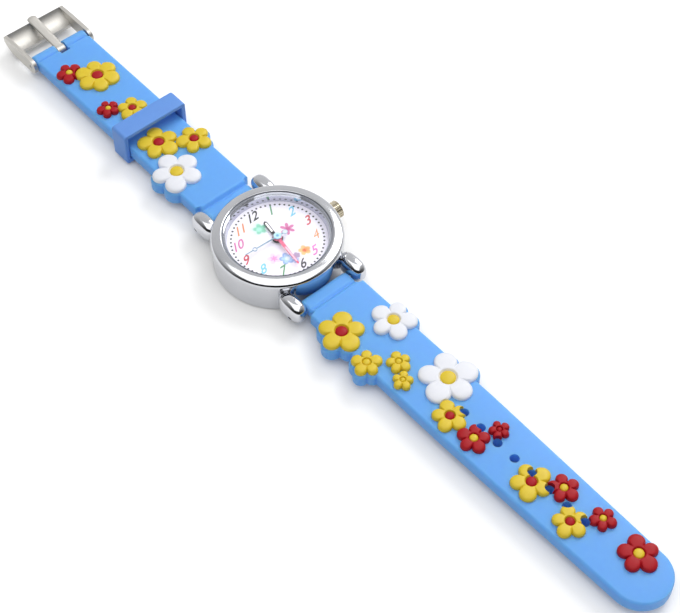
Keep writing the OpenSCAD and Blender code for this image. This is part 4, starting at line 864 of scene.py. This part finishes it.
def joined(name, parts):
    """One object from several: their meshes side by side in one, with the first one's material."""
    work = bmesh.new()
    for part in parts:
        work.from_mesh(part.data)
    mesh = bpy.data.meshes.new(name)
    work.to_mesh(mesh)
    work.free()
    mesh.materials.append(parts[0].data.materials[0])
    mesh.set_sharp_from_angle(angle=math.radians(PETAL_BEND))
    for part in parts:
        bpy.data.objects.remove(part)
    return put(name, mesh)


for flowers, body in ((tip_flowers, "tip_strap"), (buckle_flowers, "buckle_strap")):
    yellow = [flower for flower in flowers if flower[0] == "yellow"]
    pierced = body == "tip_strap"
    for colour in ("yellow", "red", "white"):
        over = () if colour == "yellow" else yellow
        parts = []
        for petal_colour, x, y, radius, turn, middle, petals in flowers:
            if petal_colour == colour:
                skin = petal_skin(x, y, radius, turn, petals, over)
                parts.append(moulded(skin, x, y, radius, silicone[colour], pierced))
            if middle == colour:
                button_r = BUTTON_SHARE * radius
                skin = button_skin(x, y, button_r)
                parts.append(moulded(skin, x, y, button_r, silicone[colour], pierced))
        node = body + "_" + colour
        piece = joined(node + "_silicone", parts)
        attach(piece, body)
        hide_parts(node)

# Keeper
# A loop of slightly deeper blue silicone that slides on the buckle half, moulded as one ring of
# even wall with soft edges.
KEEPER_WALL, KEEPER_CORNER, KEEPER_EDGE = 1.0, 0.7, 0.22
CORNER_STEPS, WALL_STEPS = 10, 5
silicone_keeper = finish(
    "keeper_silicone", (108, 158, 232), (101, 150, 226), MOULDED, 0.44, 0.56, 0.12, SOFT_DENT,
    Subsurface_Weight=0.1, Subsurface_Radius=(0.3, 0.6, 1.0), Subsurface_Scale=0.0008, Specular_IOR_Level=0.4)


def keeper_skin(low, high):
    """Ring with an even wall between two corners of a box: a rounded rectangle path round the strap,
    and across it a strip whose four edges are rounded."""
    ux, uz, sx, sz = four_corners(CORNER_STEPS)
    mid, size = (low + high) / 2, (high - low) / 2
    px = mid[0] + sx * (size[0] - KEEPER_CORNER) + KEEPER_CORNER * ux
    pz = mid[2] + sz * (size[2] - KEEPER_CORNER) + KEEPER_CORNER * uz
    wall_out, wall_y, s_out, s_y = four_corners(WALL_STEPS)
    out = -KEEPER_WALL / 2 + s_out * (KEEPER_WALL / 2 - KEEPER_EDGE) + KEEPER_EDGE * wall_out
    y = mid[1] + s_y * (size[1] - KEEPER_EDGE) + KEEPER_EDGE * wall_y
    x = px[:, None] + ux[:, None] * out
    z = pz[:, None] + uz[:, None] * out
    return loft(x, y, z, ring=True)


keeper = piece_of("keeper_silicone_loop", [keeper_skin(*corners("strap_keeper"))], silicone_keeper)
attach(keeper, "keeper")
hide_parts("strap_keeper")

# Buckle
# A frame bent from steel sheet with a brushed finish, a stamped tongue that rests on its far edge,
# and the spring bar that carries both in the strap's barrel.
BRUSHED = (9000, 350, 2500)
brushed = finish("brushed_steel", (214, 211, 205), (188, 186, 181), BRUSHED, 0.36, 0.5, 0.22, Metallic=1.0)
dress(brushed, "buckle_frame")
dress(steel_pin, "buckle_spring_bar")
TONGUE_FOOT_W, TONGUE_TIP_W, TONGUE_T, TONGUE_SOFT = 2.1, 2.3, 0.8, 2.4
TONGUE_END, PIN_GAP, LOOP_IN = 0.9, 0.05, 0.1
TONGUE_ROWS, TONGUE_END_ROWS, TONGUE_END_FROM, TONGUE_SIDES = 30, 14, 0.1, 40
pin_low, pin_high = corners("buckle_spring_bar")
pin_y, pin_z = (pin_low[1] + pin_high[1]) / 2, (pin_low[2] + pin_high[2]) / 2
pin_r = (pin_high[2] - pin_low[2]) / 2
tongue_low, tongue_high = corners("buckle_tongue")
loop_r = pin_y - tongue_low[1]
frame_edge = corners("buckle_frame")[1][1]
stamped = points_of(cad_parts["buckle_tongue"].data) * MM
rest_z = stamped[stamped[:, 1] > tongue_high[1] - PIN_GAP][:, 2].min()


def tongue_skin():
    """Tongue: a rounded strip whose section is a superellipse. It runs in a straight line from the top
    of its loop to the frame's far edge, gets a little wider all the way, and ends in a round tip."""
    tip = np.sin(np.linspace(TONGUE_END_FROM, ALMOST, TONGUE_END_ROWS) * np.pi / 2)
    along = np.concatenate([np.linspace(pin_y, tongue_high[1] - TONGUE_END, TONGUE_ROWS),
                            tongue_high[1] - TONGUE_END * (1 - tip)])
    share = ((along - pin_y) / (frame_edge - pin_y)).clip(0, 1)
    top = pin_z + loop_r + (rest_z + TONGUE_T - pin_z - loop_r) * share
    past = ((along - tongue_high[1] + TONGUE_END) / TONGUE_END).clip(0, 1)
    full = np.sqrt(1 - past ** 2)[:, None]
    wide = (TONGUE_FOOT_W + (TONGUE_TIP_W - TONGUE_FOOT_W) * share)[:, None] / 2
    bent = soft_ring(TONGUE_SIDES, TONGUE_SOFT)
    z = (top - TONGUE_T / 2)[:, None] + TONGUE_T / 2 * full * bent[1]
    return loft(wide * full * bent[0], along[:, None], z)


LOOP_HALF = TONGUE_FOOT_W / 2 - LOOP_IN
tongue = piece_of("tongue_strip", [tongue_skin()], brushed)
carve(tongue, [rod_skin(-LOOP_HALF, LOOP_HALF, pin_y, pin_z, loop_r)], "UNION")
carve(tongue, [rod_skin(-TONGUE_FOOT_W, TONGUE_FOOT_W, pin_y, pin_z, pin_r + PIN_GAP)])
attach(tongue, "tongue")
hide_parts("buckle_tongue")

# Table
# White paper that keeps the soft shadow; what the camera, the metal and the glass see of it glows a
# little where it lies open, so that it is white where nothing shades it.
TABLE_HALF, TABLE_Z = 0.9, -0.0001
PAPER_GLOW, GLOW_REACH = 0.36, 0.009
PAPER_WHITE = (0.8, 0.8, 0.8, 1)
stage = bpy.data.meshes.new("table")
signs = ((-1, -1), (1, -1), (1, 1), (-1, 1))
stage.from_pydata([(x * TABLE_HALF, y * TABLE_HALF, TABLE_Z) for x, y in signs], [], [(0, 1, 2, 3)])
table = put("table", stage)


def seen_directly(tree):
    """One where a ray comes from the camera, a mirror or glass, and zero elsewhere."""
    path = tree.nodes.new("ShaderNodeLightPath")
    mirrored = reckon(tree, "MAXIMUM", path.outputs["Is Glossy Ray"], path.outputs["Is Transmission Ray"])
    return reckon(tree, "MAXIMUM", path.outputs["Is Camera Ray"], mirrored)


paper = bpy.data.materials.new("white_paper")
paper.use_nodes = True
tree = paper.node_tree
nodes, link = tree.nodes, tree.links.new
nodes.remove(nodes["Principled BSDF"])
matt = nodes.new("ShaderNodeBsdfDiffuse")
set_inputs(matt, Color=PAPER_WHITE)
open_sky = nodes.new("ShaderNodeAmbientOcclusion")
set_inputs(open_sky, Distance=GLOW_REACH)
open_glow = reckon(tree, "MULTIPLY", open_sky.outputs["AO"], PAPER_GLOW)
glow = nodes.new("ShaderNodeEmission")
link(reckon(tree, "MULTIPLY", seen_directly(tree), open_glow), glow.inputs["Strength"])
both = nodes.new("ShaderNodeAddShader")
link(matt.outputs[0], both.inputs[0])
link(glow.outputs[0], both.inputs[1])
link(both.outputs[0], nodes["Material Output"].inputs["Surface"])
stage.materials.append(paper)
table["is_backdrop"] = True

# Room and lamps
# A plain pale room whose wall behind the camera is dark, which the chrome mirrors; a broad softbox
# overhead and a smaller key lamp behind the watch, at the right.
AZIMUTH, ELEVATION, DISTANCE = math.radians(-40.95), math.radians(52.30), 0.33175
towards_camera = Vector((math.sin(AZIMUTH), -math.cos(AZIMUTH), 0))
ROOM_LIGHT, WALL_FAR, WALL_NEAR, CEILING = 0.3, 1.0, 0.03, 0.9
WALL_FROM, WALL_TO, CEILING_FROM, CEILING_TO = -0.9, 0.7, 0.35, 0.8
NEAR_TILT, NEAR_LEAST = 0.42, 0.5
world = bpy.data.worlds.new("studio")
bpy.context.scene.world = world
world.use_nodes = True
tree = world.node_tree
nodes, link = tree.nodes, tree.links.new
even = nodes["Background"]
set_inputs(even, Color=(1, 1, 1, 1), Strength=ROOM_LIGHT)
ray = nodes.new("ShaderNodeTexCoord")
side_on = nodes.new("ShaderNodeVectorMath")
side_on.operation = "DOT_PRODUCT"
side_on.inputs[1].default_value = towards_camera
link(ray.outputs["Generated"], side_on.inputs[0])
walls = nodes.new("ShaderNodeMapRange")
walls.interpolation_type = "SMOOTHSTEP"
set_inputs(walls, From_Min=WALL_FROM, From_Max=WALL_TO, To_Min=WALL_FAR, To_Max=WALL_NEAR)
link(side_on.outputs["Value"], walls.inputs["Value"])
parts = nodes.new("ShaderNodeSeparateXYZ")
link(ray.outputs["Generated"], parts.inputs[0])
near_side = reckon(tree, "MAXIMUM", side_on.outputs["Value"], NEAR_LEAST)
upward = nodes.new("ShaderNodeMapRange")
upward.interpolation_type = "SMOOTHSTEP"
set_inputs(upward, From_Min=CEILING_FROM, From_Max=CEILING_TO)
link(reckon(tree, "MULTIPLY_ADD", near_side, -NEAR_TILT, parts.outputs["Z"]), upward.inputs["Value"])
level = nodes.new("ShaderNodeMix")
level.inputs["B"].default_value = CEILING
link(upward.outputs["Result"], level.inputs["Factor"])
link(walls.outputs["Result"], level.inputs["A"])
open_view = nodes.new("ShaderNodeLightPath")
backdrop = reckon(tree, "MAXIMUM", open_view.outputs["Is Camera Ray"], level.outputs["Result"])
room = nodes.new("ShaderNodeBackground")
link(backdrop, room.inputs["Strength"])
choice = nodes.new("ShaderNodeMixShader")
link(seen_directly(tree), choice.inputs["Fac"])
link(even.outputs[0], choice.inputs[1])
link(room.outputs[0], choice.inputs[2])
link(choice.outputs[0], nodes["World Output"].inputs["Surface"])
LAMP_AIM = Vector((0, -0.01, 0))


def softbox(name, place, size, watts):
    """Square area light at a place, facing the watch."""
    lamp = bpy.data.lights.new(name, "AREA")
    lamp.size, lamp.energy = size, watts
    holder = put(name, lamp)
    holder.location = place
    holder.rotation_mode = "QUATERNION"
    holder.rotation_quaternion = (LAMP_AIM - Vector(place)).to_track_quat("-Z", "Y")


softbox("overhead", (-0.1, -0.12, 0.8), 1.0, 4.0)
softbox("key", (0.5, 0.12, 0.5), 0.35, 2.3)

# Camera
# A long lens that looks down on the watch from beside its lower end. Its length, its place and its
# aim were fitted to the photograph's outline of the watch.
SENSOR_W, FOCAL, CLIP_NEAR, CLIP_FAR = 36.0, 88.18, 0.01, 20.0
target = Vector((0.00127, -0.01766, 0.0))
back = towards_camera * math.cos(ELEVATION) + Vector((0, 0, math.sin(ELEVATION)))
lens = bpy.data.cameras.new("camera")
lens.sensor_fit, lens.sensor_width, lens.lens = "HORIZONTAL", SENSOR_W, FOCAL
lens.clip_start, lens.clip_end = CLIP_NEAR, CLIP_FAR
camera = put("camera", lens)
camera.location = target + back * DISTANCE
camera.rotation_mode = "QUATERNION"
camera.rotation_quaternion = (-back).to_track_quat("-Z", "Y")
bpy.context.scene.camera = camera
bpy.context.scene.view_settings.view_transform = "Standard"

low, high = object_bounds()
